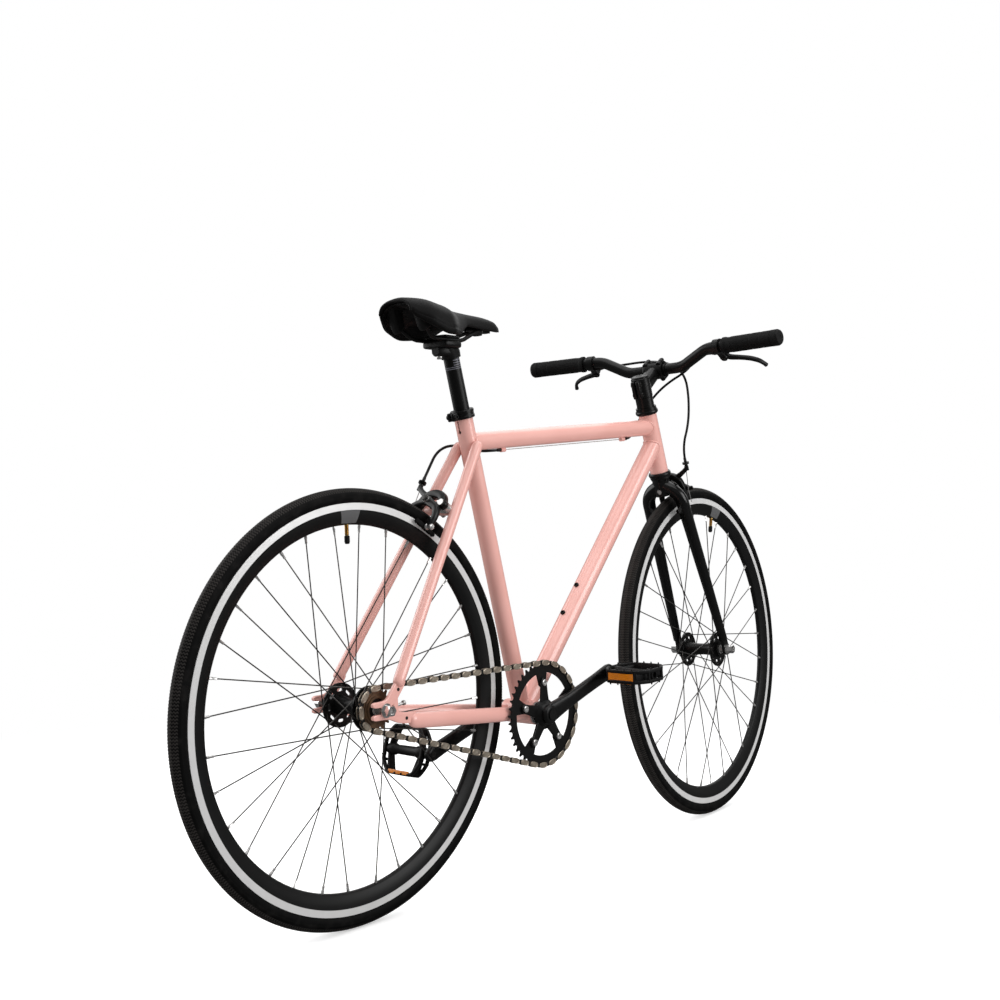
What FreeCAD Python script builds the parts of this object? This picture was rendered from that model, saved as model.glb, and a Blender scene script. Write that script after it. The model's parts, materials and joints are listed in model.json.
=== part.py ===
import FreeCAD, Part
import math
import os
from FreeCAD import Placement, Rotation, Vector

# A single-speed city bike. Millimetres and degrees: X forward, Y to the rider's left, Z up.
# The origin is on the ground, straight below the crank axis.

# Driving dimensions of the wheels
bead_seat_radius = 311.0
tyre_section = 28.0
tyre_wall = 2.6
bead_width = 3.2
inner_tube_wall = 1.4
rim_width = 22.0
rim_wall = 1.6
rim_depth = 34.0
rim_flange_height = 5.0
rim_bed_drop = 2.0
rim_nose_width = 10.0
brake_track_height = 11.0
spoke_count = 32
spoke_crossings = 3
spoke_radius = 1.0
spoke_stagger = 1.5
nipple_radius = 2.1
nipple_length = 12.0
valve_radius = 3.0
valve_length = 24.0
rear_valve_angle = -1.8
front_valve_angle = 33.0

# Driving dimensions of the hubs and axles
flange_radius = 35.0
flange_thickness = 3.2
spoke_circle_radius = 31.0
hub_root_radius = 16.0
hub_waist_radius = 11.5
hub_slot_count = 8
hub_slot_width = 5.0
hub_slot_length = 12.0
hub_slot_circle_radius = 24.0
cone_radius = 9.0
cone_depth = 9.0
cone_reach = 1.5
rear_axle_radius = 5.0
front_axle_radius = 4.5
rear_flange_offset = 33.0
front_flange_offset = 34.0
rear_hub_end = 50.0
front_hub_end = 41.0
rear_dropout_gap = 130.0
front_dropout_gap = 100.0
dropout_thickness = 6.0
nut_across_flats = 15.0
nut_height = 12.0
nut_flange_radius = 11.0
nut_flange_thickness = 2.0
axle_recess = 3.0

# Driving dimensions of the drive train
chain_pitch = 12.7
tyre_to_seat_tube = 12.0
ring_teeth = 44
cog_teeth = 16
chain_line = 48.0
roller_radius = 3.87
roller_width = 3.3
chain_plate_height = 8.4
chain_plate_thickness = 1.1
chain_plate_gap = 0.1
tooth_thickness = 2.6
tooth_height = 2.8
tooth_tip_width = 2.0
bb_drop = 57.0
bolt_circle_radius = 55.0
spider_arms = 5
ring_band_depth = 17.0
ring_tab_radius = 9.0
spider_thickness = 4.5
spider_root_width = 22.0
spider_tip_width = 15.0
ring_bolt_radius = 4.0
ring_bolt_head_radius = 6.0
ring_bolt_head_height = 1.6
crank_length = 170.0
crank_angle = 20.4
crank_boss_radius = 16.5
crank_boss_depth = 19.0
crank_root_width = 30.0
crank_waist_width = 24.0
crank_end_radius = 14.0
crank_thickness = 13.0
crank_offset = 9.0
spindle_radius = 8.5
spindle_bite = 17.0
dust_cap_radius = 9.0
dust_cap_height = 2.0
cog_body_radius = 24.0
cog_lip_radius = 20.5
cog_lip_height = 2.5
cog_body_width = 12.0
thread_radius = 17.2
lock_thread_radius = 15.5

# Driving dimensions of the pedals
pedal_axle_radius = 5.0
pedal_axle_collar_radius = 7.5
pedal_axle_collar_width = 5.0
pedal_gap = 1.0
pedal_width = 94.0
pedal_length = 86.0
pedal_end_width = 62.0
pedal_height = 24.0
pedal_rail = 9.0
pedal_barrel_radius = 11.0
pedal_right_tilt = 3.0
pedal_left_tilt = 74.0
reflector_width = 54.0
reflector_height = 14.0
reflector_depth = 4.0

# Driving dimensions of the frame
tube_wall = 1.6
seat_tube_angle = 75.0
seat_tube_length = 545.0
seat_tube_radius = 15.9
seat_slot_width = 3.0
seat_slot_length = 34.0
top_tube_radius = 15.9
top_tube_from_seat_top = 54.0
top_tube_from_head_top = 28.0
down_tube_radius = 17.5
down_tube_on_head = 60.0
head_angle = 72.0
head_tube_radius = 18.0
head_tube_length = 121.0
toe_room = 248.0
bb_shell_radius = 20.5
bb_shell_width = 68.0
bb_thread_radius = 17.4
bb_flange_radius = 19.5
bb_flange_width = 3.0
seatstay_radius = 7.5
seatstay_below_top = 62.0
seatstay_top_inset = 2.0
chainstay_front_width = 19.5
chainstay_rear_width = 13.0
chainstay_oval = 1.385
chainstay_front_offset = 22.0
bridge_radius = 7.5
stop_radius = 4.0
stop_length = 11.0
rear_stop_from_seat_tube = 87.0
front_stop_from_seat_tube = 440.0
bottle_bolt_from_crank = 204.0
bottle_bolt_spacing = 64.0
bottle_bolt_radius = 4.5
bottle_bolt_height = 3.0
eyelet_radius = 2.5
stop_screw_radius = 2.5
stop_screw_length = 34.0
stop_screw_head_radius = 4.2
axle_slot_front = 12.0
axle_slot_tip = 27.0
prong_height = 9.0
rack_eyelet_ahead = 33.0
rack_eyelet_rise = 29.0
guard_eyelet_ahead = 46.0
guard_eyelet_drop = 15.0
seatstay_foot_ahead = 33.0
seatstay_foot_rise = 45.0
chainstay_foot_ahead = 60.0
chainstay_foot_drop = 14.0

# Driving dimensions of the seat
seatpost_radius = 13.6
seatpost_above_tube = 90.0
seatpost_insertion = 120.0
collar_height = 15.0
collar_wall = 4.2
collar_lip = 2.0
collar_ear = 12.0
collar_bolt_radius = 2.5
saddle_length = 242.0
saddle_width = 131.0
saddle_set_ahead = 8.0
saddle_height_over_rails = 64.0
saddle_base_thickness = 4.0
rail_radius = 3.5
rail_spacing = 44.0
rail_straight = 104.0
rail_over_post = 26.0
rail_set_back = 18.0
rail_tail_drop = 45.5
rail_nose_drop = 48.0
cradle_length = 46.0
cradle_thickness = 9.0

# Driving dimensions of the fork, headset, stem and bar
crown_above_bolt = 26.5
fork_rake = 28.0
fork_rest_turn = 7.0
steerer_radius = 14.3
steerer_wall = 2.0
crown_radius = 18.0
crown_height = 37.0
blade_radius = 13.0
blade_tip_radius = 8.5
blade_shoulder_drop = 57.0
blade_spread = 38.0
blade_bend_radius = 40.0
blade_bend_angle = 58.0
blade_tip_height = 22.0
lower_stack = 12.0
cup_height = 8.0
cup_radius = 22.0
cover_radius = 20.5
cover_height = 6.0
spacer_height = 20.0
spacer_count = 2
spacer_radius = 17.5
stem_clamp_height = 40.0
stem_clamp_radius = 18.5
stem_length = 72.5
stem_rise = 14.5
stem_tube_radius = 14.5
bar_clamp_radius = 18.0
bar_clamp_width = 42.0
bar_clamp_ear = 21.0
faceplate_gap = 1.5
faceplate_depth = 9.0
stem_bolt_radius = 2.5
stem_bolt_head_radius = 4.2
stem_bolt_head_height = 4.0
bar_bolt_spacing = 30.0
top_cap_radius = 17.0
top_cap_height = 4.0
bar_radius = 11.1
bar_bulge_radius = 12.7
bar_bulge_half = 26.0
bar_rise = 30.0
bar_rise_start = 60.0
bar_rise_run = 59.0
bar_lever_gap = 18.0
bar_sweep_at_rise = 6.0
bar_sweep_angle = 5.8
bar_bend_radius = 55.0
grip_length = 119.0
grip_radius = 16.8
grip_flange_radius = 19.0
grip_flange_width = 5.0
bar_plug_width = 3.0

# Driving dimensions of the brakes
brake_reach = 50.0
brake_bolt_radius = 3.0
brake_arm_thickness = 8.0
brake_bracket_thickness = 10.0
brake_layer_gap = 0.4
side_pivot_offset = 27.0
side_pivot_drop = 2.0
pivot_boss_radius = 8.0
brake_arm_width = 11.0
barrel_side = 45.0
barrel_rise = 46.0
barrel_radius = 4.0
barrel_flange_radius = 7.0
barrel_height = 14.0
anchor_side = 39.0
anchor_drop = 13.0
pad_length = 48.0
pad_height = 7.6
pad_drop = 1.5
pad_thickness = 8.0
pad_gap = 2.4
lever_inboard_of_grip = 9.0
lever_clamp_width = 13.0
lever_clamp_wall = 4.0
lever_droop = 31.0
lever_pivot_reach = 29.0
lever_pivot_radius = 3.0
lever_boss_radius = 7.5
lever_length = 66.0
lever_tip_reach = 78.0
lever_thickness = 10.0
lever_blade_width = 9.0
bracket_cheek = 3.5
housing_radius = 2.4
wire_radius = 0.9

# Clearances
running_clearance = 0.06
slip_clearance = 0.05
seat_gap = 0.2
body_gap = 0.4

nodes = {}


# Geometry helpers
def rod(start, end, radius, bore=0.0):
    axis = end - start
    solid = Part.makeCylinder(radius, axis.Length, start, axis)
    if bore:
        solid = solid.cut(Part.makeCylinder(bore, axis.Length, start, axis))
    return solid


def square_bar(start, end, half):
    """A thin bar of square section, for what repeats many times."""
    axis = (end - start).normalize()
    across = Vector(axis.y, -axis.x, 0) if abs(axis.z) < 0.9 else Vector(1, 0, 0)
    box = Part.makeBox(2 * half, 2 * half, (end - start).Length, Vector(-half, -half, 0))
    return moved(box, Placement(start, Rotation(across, axis.cross(across), axis, "ZXY")))


def cone(start, end, start_radius, end_radius):
    axis = end - start
    return Part.makeCone(start_radius, end_radius, axis.Length, start, axis)


def ring(radius, bore, low, high):
    """A round ring about Z."""
    return rod(Vector(0, 0, low), Vector(0, 0, high), radius, bore)


def cross_ring(radius, bore, low, high):
    """A round ring about Y."""
    return rod(Vector(0, low, 0), Vector(0, high, 0), radius, bore)


def outline(start, *steps):
    """A closed flat wire: (x, y) is a line to that point, (via x, via y, x, y) an arc."""
    here = Vector(start[0], start[1], 0)
    edges = []
    for step in steps + (start,):
        there = Vector(step[-2], step[-1], 0)
        if len(step) == 4:
            edges.append(Part.Arc(here, Vector(step[0], step[1], 0), there).toShape())
        elif (there - here).Length > 1e-6:
            edges.append(Part.makeLine(here, there))
        here = there
    return Part.Wire(edges)


def turned(wire, *holes):
    """Turn a profile of (radius, y) once about Y."""
    face = Part.makeFace([wire, *holes], "Part::FaceMakerBullseye")
    return face.revolve(Vector(), Vector(0, 1, 0), 360)


def slab(wire, low, high, *holes):
    """A flat outline of (x, y) between two heights."""
    face = Part.makeFace([wire, *holes], "Part::FaceMakerBullseye")
    face.translate(Vector(0, 0, low))
    return face.extrude(Vector(0, 0, high - low))


def side_slab(wire, low, high, *holes):
    """A flat outline of (x, z) between two values of y."""
    solid = slab(wire, -high, -low, *holes)
    solid.rotate(Vector(), Vector(1, 0, 0), 90)
    return solid


def moved(shape, placement):
    copy = shape.copy()
    copy.Placement = placement.multiply(copy.Placement)
    return copy


def axes_at(origin, x_axis, y_axis, z_axis):
    return Placement(origin, Rotation(x_axis, y_axis, z_axis, "ZXY"))


def spun(shape, count, axis, turn=0.0):
    """Copies spread evenly about an axis through the origin."""
    return [moved(shape, Placement(Vector(), Rotation(axis, turn + 360.0 * i / count))) for i in range(count)]


def joined(*solids):
    whole = solids[0].fuse(list(solids[1:]))
    return whole.removeSplitter()


def bent_path(points, radius):
    """Straight runs joined by tangent arcs of one radius."""
    edges = []
    here = points[0]
    for before, corner, after in zip(points, points[1:], points[2:]):
        back = (before - corner).normalize()
        ahead = (after - corner).normalize()
        half_turn = (math.pi - back.getAngle(ahead)) / 2
        reach = radius(before, corner, after, half_turn) if callable(radius) else radius
        trim = reach * math.tan(half_turn)
        middle = (back + ahead).normalize() * (reach / math.cos(half_turn) - reach)
        edges.append(Part.makeLine(here, corner + back * trim))
        edges.append(Part.Arc(corner + back * trim, corner + middle, corner + ahead * trim).toShape())
        here = corner + ahead * trim
    edges.append(Part.makeLine(here, points[-1]))
    return Part.Wire(edges)


def largest_arc(before, corner, after, half_turn):
    """The arc that takes 0.45 of the shorter of its two runs."""
    shorter = min((before - corner).Length, (after - corner).Length)
    return 0.45 * shorter / math.tan(half_turn)


def pipe(path, radius):
    start = path.Edges[0].Vertexes[0].Point
    direction = path.Edges[0].tangentAt(path.Edges[0].FirstParameter)
    section = Part.Wire(Part.makeCircle(radius, start, direction))
    return path.makePipeShell([section], True, False)


def ellipse_wire(placement, width, height):
    major, minor = max(width, height) / 2, min(width, height) / 2
    curve = Part.Ellipse(Vector(), major, minor).toShape()
    if height > width:
        curve.rotate(Vector(), Vector(0, 0, 1), 90)
    return moved(Part.Wire(curve), placement)


def hexagon(across_flats):
    corner = across_flats / math.sqrt(3)
    points = [(corner * math.cos(math.radians(60 * i)),
               corner * math.sin(math.radians(60 * i))) for i in range(6)]
    return outline(*points)


def circle_wire(x, y, radius):
    return Part.Wire(Part.makeCircle(radius, Vector(x, y, 0)))


def polar(radius, degrees):
    angle = math.radians(degrees)
    return radius * math.cos(angle), radius * math.sin(angle)


# Layout: wheels, crank, steering axis
tyre_centre_radius = bead_seat_radius + tyre_section / 2
wheel_radius = bead_seat_radius + tyre_section
rim_edge_radius = bead_seat_radius + rim_flange_height
rim_inner_radius = rim_edge_radius - rim_depth
pad_radius = rim_edge_radius - brake_track_height / 2
ring_pitch_radius = chain_pitch / (2 * math.sin(math.pi / ring_teeth))
cog_pitch_radius = chain_pitch / (2 * math.sin(math.pi / cog_teeth))


def chain_turns(distance):
    """Links on the ring, on one straight run and on the cog for a distance between the two axes."""
    lean = math.asin((ring_pitch_radius - cog_pitch_radius) / distance)
    on_ring = (math.pi + 2 * lean) * ring_teeth / (2 * math.pi)
    on_run = distance * math.cos(lean) / chain_pitch
    on_cog = (math.pi - 2 * lean) * cog_teeth / (2 * math.pi)
    return on_ring, on_run, on_cog, lean


def axle_distance(links):
    """The distance between axes that takes up a chain of that many links."""
    low, high = ring_pitch_radius + cog_pitch_radius, links * chain_pitch
    while high - low > 1e-9:
        middle = (low + high) / 2
        on_ring, on_run, on_cog, lean = chain_turns(middle)
        if on_ring + 2 * on_run + on_cog > links:
            high = middle
        else:
            low = middle
    return low


def seat_tube_room(links):
    """Gap between tyre and seat tube with the axle where a chain of that many links holds it."""
    behind = math.sqrt(axle_distance(links) ** 2 - bb_drop ** 2)
    off_axis = behind * math.sin(seat_lean) - bb_drop * math.cos(seat_lean)
    return off_axis - seat_tube_radius - wheel_radius


seat_lean = math.radians(seat_tube_angle)
chain_links = ring_teeth + cog_teeth
while seat_tube_room(chain_links) < tyre_to_seat_tube:
    chain_links += 2
chain_centres = axle_distance(chain_links)
front_centre = wheel_radius + toe_room
front_pad_ahead = crown_radius + brake_bracket_thickness + brake_arm_thickness / 2 - fork_rake
front_bolt_height = math.sqrt(pad_radius ** 2 - front_pad_ahead ** 2) + brake_reach
fork_length = front_bolt_height + crown_above_bolt
blade_shoulder = fork_length - blade_shoulder_drop
bar_rise_end = bar_rise_start + bar_rise_run
lever_run = bar_lever_gap + lever_clamp_width + lever_inboard_of_grip
bar_half_width = bar_rise_end + lever_run + grip_length
crank_centre = Vector(0, 0, wheel_radius - bb_drop)
rear_axle = Vector(-math.sqrt(chain_centres ** 2 - bb_drop ** 2), 0, wheel_radius)
front_axle = Vector(front_centre, 0, wheel_radius)
left = Vector(0, 1, 0)
head_lean = math.radians(head_angle)
steer_up = Vector(-math.cos(head_lean), 0, math.sin(head_lean))
steer_ahead = Vector(math.sin(head_lean), 0, math.cos(head_lean))
steer_foot = front_axle - steer_ahead * fork_rake
head_frame = axes_at(steer_foot, steer_ahead, left, steer_up)
steer_frame = head_frame.multiply(Placement(Vector(), Rotation(Vector(0, 0, 1), fork_rest_turn)))
head_low = fork_length + lower_stack
head_high = head_low + head_tube_length
head_axis_low = steer_foot + steer_up * head_low
head_axis_high = steer_foot + steer_up * head_high

seat_up = Vector(-math.cos(seat_lean), 0, math.sin(seat_lean))
seat_back = Vector(-math.sin(seat_lean), 0, -math.cos(seat_lean))
seat_tube_top = crank_centre + seat_up * seat_tube_length
top_tube_rear = seat_tube_top - seat_up * top_tube_from_seat_top
top_tube_front = head_axis_high - steer_up * top_tube_from_head_top
top_tube_axis = (top_tube_front - top_tube_rear).normalize()
top_tube_down = Vector(top_tube_axis.z, 0, -top_tube_axis.x)
down_tube_front = head_axis_low + steer_up * down_tube_on_head
down_tube_axis = (down_tube_front - crank_centre).normalize()
down_tube_above = Vector(-down_tube_axis.z, 0, down_tube_axis.x)


# Wheels
def tyre():
    outer, inner = tyre_section / 2, tyre_section / 2 - tyre_wall
    seat = rim_edge_radius + seat_gap
    seat_half = math.sqrt(outer ** 2 - (tyre_centre_radius - seat) ** 2)
    bead_out = rim_width / 2 - rim_wall - slip_clearance
    bead_in = bead_out - bead_width
    bead_low = bead_seat_radius - rim_bed_drop + seat_gap
    inner_low = tyre_centre_radius - math.sqrt(inner ** 2 - bead_in ** 2)
    return turned(outline(
        (seat, seat_half), (tyre_centre_radius + outer, 0, seat, -seat_half), (seat, -bead_out),
        (bead_low, -bead_out), (bead_low, -bead_in), (inner_low, -bead_in),
        (tyre_centre_radius + inner, 0, inner_low, bead_in), (bead_low, bead_in), (bead_low, bead_out),
        (seat, bead_out)))


def inner_tube():
    skin = tyre_section / 2 - tyre_wall - body_gap
    bladder = Part.makeTorus(tyre_centre_radius, skin, Vector(), left)
    valve_end = rim_inner_radius - valve_length
    stem = rod(Vector(0, 0, valve_end), Vector(0, 0, bead_seat_radius + rim_flange_height), valve_radius)
    air = Part.makeTorus(tyre_centre_radius, skin - inner_tube_wall, Vector(), left)
    return joined(bladder, stem).cut(air)


def rim():
    half, nose = rim_width / 2, rim_nose_width / 2
    bed = bead_seat_radius - rim_bed_drop
    track = rim_edge_radius - brake_track_height
    nose_radius = rim_inner_radius + nose / 2
    belly = (track + nose_radius) / 2
    well = half - rim_wall
    outer = outline(
        (rim_edge_radius, half), (rim_edge_radius, well), (bed, well), (bed, -well), (rim_edge_radius, -well),
        (rim_edge_radius, -half), (track, -half), (belly, -(half + nose) / 2 - 1.2, nose_radius, -nose),
        (rim_inner_radius, 0, nose_radius, nose), (belly, (half + nose) / 2 + 1.2, track, half))
    roof, floor = bed - rim_wall, nose_radius + rim_wall
    cavity = outline((roof, well), (roof, -well), (track, -well), (floor, -nose + rim_wall),
                     (floor, nose - rim_wall), (track, well))
    body = turned(outer, cavity)
    hole = rod(Vector(0, 0, rim_inner_radius - rim_wall), Vector(0, 0, rim_edge_radius),
               valve_radius + body_gap / 2)
    return body.cut(hole)


def spokes(flange_offset):
    """Crossed spokes with nipples, half of them on each flange."""
    per_flange = spoke_count // 2
    step = 360.0 / per_flange
    face = flange_thickness / 2
    first = step / 4
    made = []
    for side, phase in ((1, first), (-1, first + step / 2)):
        for index in range(per_flange):
            outside = index % 2 == 0
            sweep = step * spoke_crossings * (1 if outside else -1)
            hub_turn = phase + step * index
            reach = face + spoke_radius
            reach = reach + (flange_radius - spoke_circle_radius) * 0.6 if outside else -reach
            near = Vector(*polar(spoke_circle_radius, hub_turn), side * (flange_offset + reach))
            elbow = Vector(near.x, near.y, side * (flange_offset + (face if outside else -face)))
            far = Vector(*polar(rim_inner_radius - seat_gap, hub_turn + sweep), side * spoke_stagger)
            along = (far - near).normalize()
            wire = square_bar(near, far - along * nipple_length, spoke_radius)
            stub = square_bar(elbow, near + (near - elbow).normalize() * spoke_radius * 0.8, spoke_radius)
            nipple = square_bar(far - along * nipple_length, far, nipple_radius * 0.8)
            made.append(wire.fuse([stub, nipple]).removeSplitter())
    turn = Placement(Vector(), Rotation(Vector(1, 0, 0), -90))
    return [moved(solid, turn) for solid in made]


def hub(flange_offset, right_end, left_end, right_boss, left_boss, axle_radius):
    face = flange_thickness / 2
    bore = cone_radius + running_clearance
    core = axle_radius + (bore - axle_radius) / 3
    shell = turned(outline(
        (bore, -right_end), (right_boss, -right_end), (right_boss, -flange_offset - face),
        (flange_radius, -flange_offset - face), (flange_radius, -flange_offset + face),
        (hub_root_radius, -flange_offset + face),
        (hub_waist_radius, 0, hub_root_radius, flange_offset - face),
        (flange_radius, flange_offset - face), (flange_radius, flange_offset + face),
        (left_boss, flange_offset + face), (left_boss, left_end), (bore, left_end),
        (bore, left_end - cone_depth), (core, left_end - cone_depth),
        (core, cone_depth - right_end), (bore, cone_depth - right_end)))
    half, width = (hub_slot_length - hub_slot_width) / 2, hub_slot_width / 2
    low, high = hub_slot_circle_radius - width, hub_slot_circle_radius + width
    slot = outline((-half, low), (half, low), (half + width, hub_slot_circle_radius, half, high),
                   (-half, high),
                   (-half - width, hub_slot_circle_radius, -half, low))
    cutter = side_slab(slot, -flange_offset - flange_thickness, flange_offset + flange_thickness)
    return shell.cut(spun(cutter, hub_slot_count, left))


def axle_set(axle_radius, right_end, left_end, gap):
    """The axle, then on each side the cone that runs in the hub and the locknut against the dropout."""
    tip = gap / 2 + dropout_thickness + nut_flange_thickness + nut_height - axle_recess
    bore = axle_radius + slip_clearance
    solids = [cross_ring(axle_radius, 0, -tip, tip)]
    for side, end in ((-1, right_end), (1, left_end)):
        edges = [side * (end - cone_depth + cone_reach), side * (end + cone_reach), side * gap / 2]
        solids.append(cross_ring(cone_radius, bore, min(edges[:2]), max(edges[:2])))
        solids.append(cross_ring(cone_radius * 0.9, bore, min(edges[1:]), max(edges[1:])))
    return solids


def axle_nuts(axle_radius, gap):
    seat = gap / 2 + dropout_thickness
    bore = circle_wire(0, 0, axle_radius + slip_clearance)
    flange = circle_wire(0, 0, nut_flange_radius)
    nut = joined(side_slab(flange, seat, seat + nut_flange_thickness, bore),
                 side_slab(hexagon(nut_across_flats), seat + nut_flange_thickness,
                           seat + nut_flange_thickness + nut_height, bore))
    return [nut, moved(nut, Placement(Vector(), Rotation(Vector(1, 0, 0), 180)))]


def wheel(name, place, flange_offset, right_end, left_end, right_boss, left_boss, axle_radius):
    nodes[name + "_tyre"] = [moved(tyre(), place)]
    nodes[name + "_inner_tube"] = [moved(inner_tube(), place)]
    nodes[name + "_rim"] = [moved(rim(), place)]
    nodes[name + "_spokes"] = [moved(spoke, place) for spoke in spokes(flange_offset)]
    nodes[name + "_hub"] = [moved(hub(flange_offset, right_end, left_end, right_boss, left_boss,
                                      axle_radius), place)]


rear_place = Placement(rear_axle, Rotation())
front_place = steer_frame.multiply(Placement(Vector(fork_rake, 0, 0), Rotation()))
wheel("rear", rear_place.multiply(Placement(Vector(), Rotation(left, rear_valve_angle))),
      rear_flange_offset, rear_hub_end, rear_hub_end, thread_radius, lock_thread_radius, rear_axle_radius)
wheel("front", front_place.multiply(Placement(Vector(), Rotation(left, front_valve_angle))),
      front_flange_offset, front_hub_end, front_hub_end, lock_thread_radius, lock_thread_radius,
      front_axle_radius)
nodes["rear_axle"] = [moved(s, rear_place) for s in axle_set(rear_axle_radius, rear_hub_end, rear_hub_end,
                                                             rear_dropout_gap)]
nodes["front_axle"] = [moved(s, front_place) for s in axle_set(front_axle_radius, front_hub_end,
                                                               front_hub_end,
                                                               front_dropout_gap)]
nodes["rear_axle_nuts"] = [moved(s, rear_place) for s in axle_nuts(rear_axle_radius, rear_dropout_gap)]
nodes["front_axle_nuts"] = [moved(s, front_place) for s in axle_nuts(front_axle_radius, front_dropout_gap)]


# Drive train
def chain_pins():
    """Pin positions in the chain's plane, and a gap angle of the ring and of the cog."""
    on_ring, on_run, on_cog, lean = chain_turns(chain_centres)
    back = Vector(rear_axle.x - crank_centre.x, rear_axle.z - crank_centre.z, 0).normalize()
    above = Vector(back.y, -back.x, 0)
    upper = back * math.sin(lean) + above * math.cos(lean)
    lower = back * math.sin(lean) - above * math.cos(lean)
    ring_start = math.atan2(lower.y, lower.x)
    cog_start = math.atan2(upper.y, upper.x)
    ring_centre = Vector(crank_centre.x, crank_centre.z, 0)
    cog_centre = Vector(rear_axle.x, rear_axle.z, 0)
    upper_run = (cog_centre + upper * cog_pitch_radius - ring_centre - upper * ring_pitch_radius).normalize()
    lower_run = (ring_centre + lower * ring_pitch_radius - cog_centre - lower * cog_pitch_radius).normalize()
    pins = []
    for link in range(chain_links):
        here = float(link)
        if here <= on_ring:
            angle = ring_start + here * 2 * math.pi / ring_teeth
            pins.append(ring_centre + Vector(math.cos(angle), math.sin(angle), 0) * ring_pitch_radius)
        elif here <= on_ring + on_run:
            pins.append(ring_centre + upper * ring_pitch_radius + upper_run * (here - on_ring) * chain_pitch)
        elif here <= on_ring + on_run + on_cog:
            angle = cog_start + (here - on_ring - on_run) * 2 * math.pi / cog_teeth
            pins.append(cog_centre + Vector(math.cos(angle), math.sin(angle), 0) * cog_pitch_radius)
        else:
            travelled = (here - on_ring - on_run - on_cog) * chain_pitch
            pins.append(cog_centre + lower * cog_pitch_radius + lower_run * travelled)
    first_on_cog = math.ceil(on_ring + on_run)
    cog_gap = cog_start + (first_on_cog - on_ring - on_run) * 2 * math.pi / cog_teeth
    return pins, math.degrees(ring_start), math.degrees(cog_gap)


def sprocket_wire(teeth, gap_turn):
    """Roller seats on the pitch circle with straight flanks up to narrow tips."""
    pitch_radius = chain_pitch / (2 * math.sin(math.pi / teeth))
    seat = roller_radius + running_clearance * 2
    tip_radius = pitch_radius + tooth_height
    tip_half = math.degrees(tooth_tip_width / 2 / tip_radius)
    half_pitch = 180.0 / teeth
    steps = []
    for tooth in range(teeth):
        turn = gap_turn + 2 * half_pitch * tooth
        x, y = polar(pitch_radius, turn)
        enter, floor, leave = (polar(seat, turn + 180 + swing) for swing in (65, 0, -65))
        steps.append((x + enter[0], y + enter[1]))
        steps.append((x + floor[0], y + floor[1], x + leave[0], y + leave[1]))
        steps.append(polar(tip_radius, turn + half_pitch - tip_half))
        steps.append(polar(tip_radius, turn + half_pitch + tip_half))
    return outline(*steps)


def link_plate(low, high):
    """One side plate between two pins, its ends cut to half hexagons."""
    half = chain_plate_height / 2
    wire = outline((-half, 0), (0, -half), (chain_pitch, -half), (chain_pitch + half, 0), (chain_pitch, half),
                   (0, half))
    return side_slab(wire, low, high)


def roller(x):
    points = [polar(roller_radius, 60 * side) for side in range(6)]
    return side_slab(outline(*[(x + p[0], p[1]) for p in points]), -roller_width / 2, roller_width / 2)


def chain(pins):
    inside = roller_width / 2
    outside = inside + chain_plate_thickness + chain_plate_gap
    inner_link = [joined(link_plate(inside, inside + chain_plate_thickness), roller(0), roller(chain_pitch),
                         link_plate(-inside - chain_plate_thickness, -inside))]
    outer_link = [link_plate(outside, outside + chain_plate_thickness),
                  link_plate(-outside - chain_plate_thickness, -outside)]
    solids = []
    for index, pin in enumerate(pins):
        ahead = pins[(index + 1) % len(pins)] - pin
        middle = pin + ahead * 0.5
        turn = math.degrees(math.atan2(ahead.y, ahead.x))
        place = Placement(Vector(middle.x, -chain_line, middle.y), Rotation(Vector(0, -1, 0), turn))
        place = place.multiply(Placement(Vector(-chain_pitch / 2, 0, 0), Rotation()))
        solids += [moved(piece, place) for piece in (inner_link if index % 2 == 0 else outer_link)]
    return solids


def chainring(gap_turn):
    """Toothed band with five tabs that carry the bolts."""
    band_inner = ring_pitch_radius - ring_band_depth
    low, high = -tooth_thickness / 2, tooth_thickness / 2
    band = slab(sprocket_wire(ring_teeth, gap_turn), low, high, circle_wire(0, 0, band_inner))
    tabs = []
    for arm in range(spider_arms):
        turn = crank_angle + 360.0 * arm / spider_arms
        tab = outline((bolt_circle_radius, -ring_tab_radius), (band_inner + 2, -ring_tab_radius * 1.6),
                      (band_inner + 2, ring_tab_radius * 1.6), (bolt_circle_radius, ring_tab_radius),
                      (bolt_circle_radius - ring_tab_radius, 0, bolt_circle_radius, -ring_tab_radius))
        solid = slab(tab, low, high, circle_wire(bolt_circle_radius, 0, ring_bolt_radius + slip_clearance))
        tabs.append(moved(solid, Placement(Vector(), Rotation(Vector(0, 0, 1), turn))))
    return joined(band, *tabs)


crank_frame = axes_at(crank_centre, Vector(1, 0, 0), Vector(0, 0, 1), Vector(0, -1, 0))
ring_face = chain_line + tooth_thickness / 2
crank_boss_end = ring_face + crank_boss_depth
crank_end_middle = crank_boss_end - crank_thickness / 2 + crank_offset
pedal_seat = crank_end_middle + crank_thickness / 2
spindle_half = ring_face + spindle_bite


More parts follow.
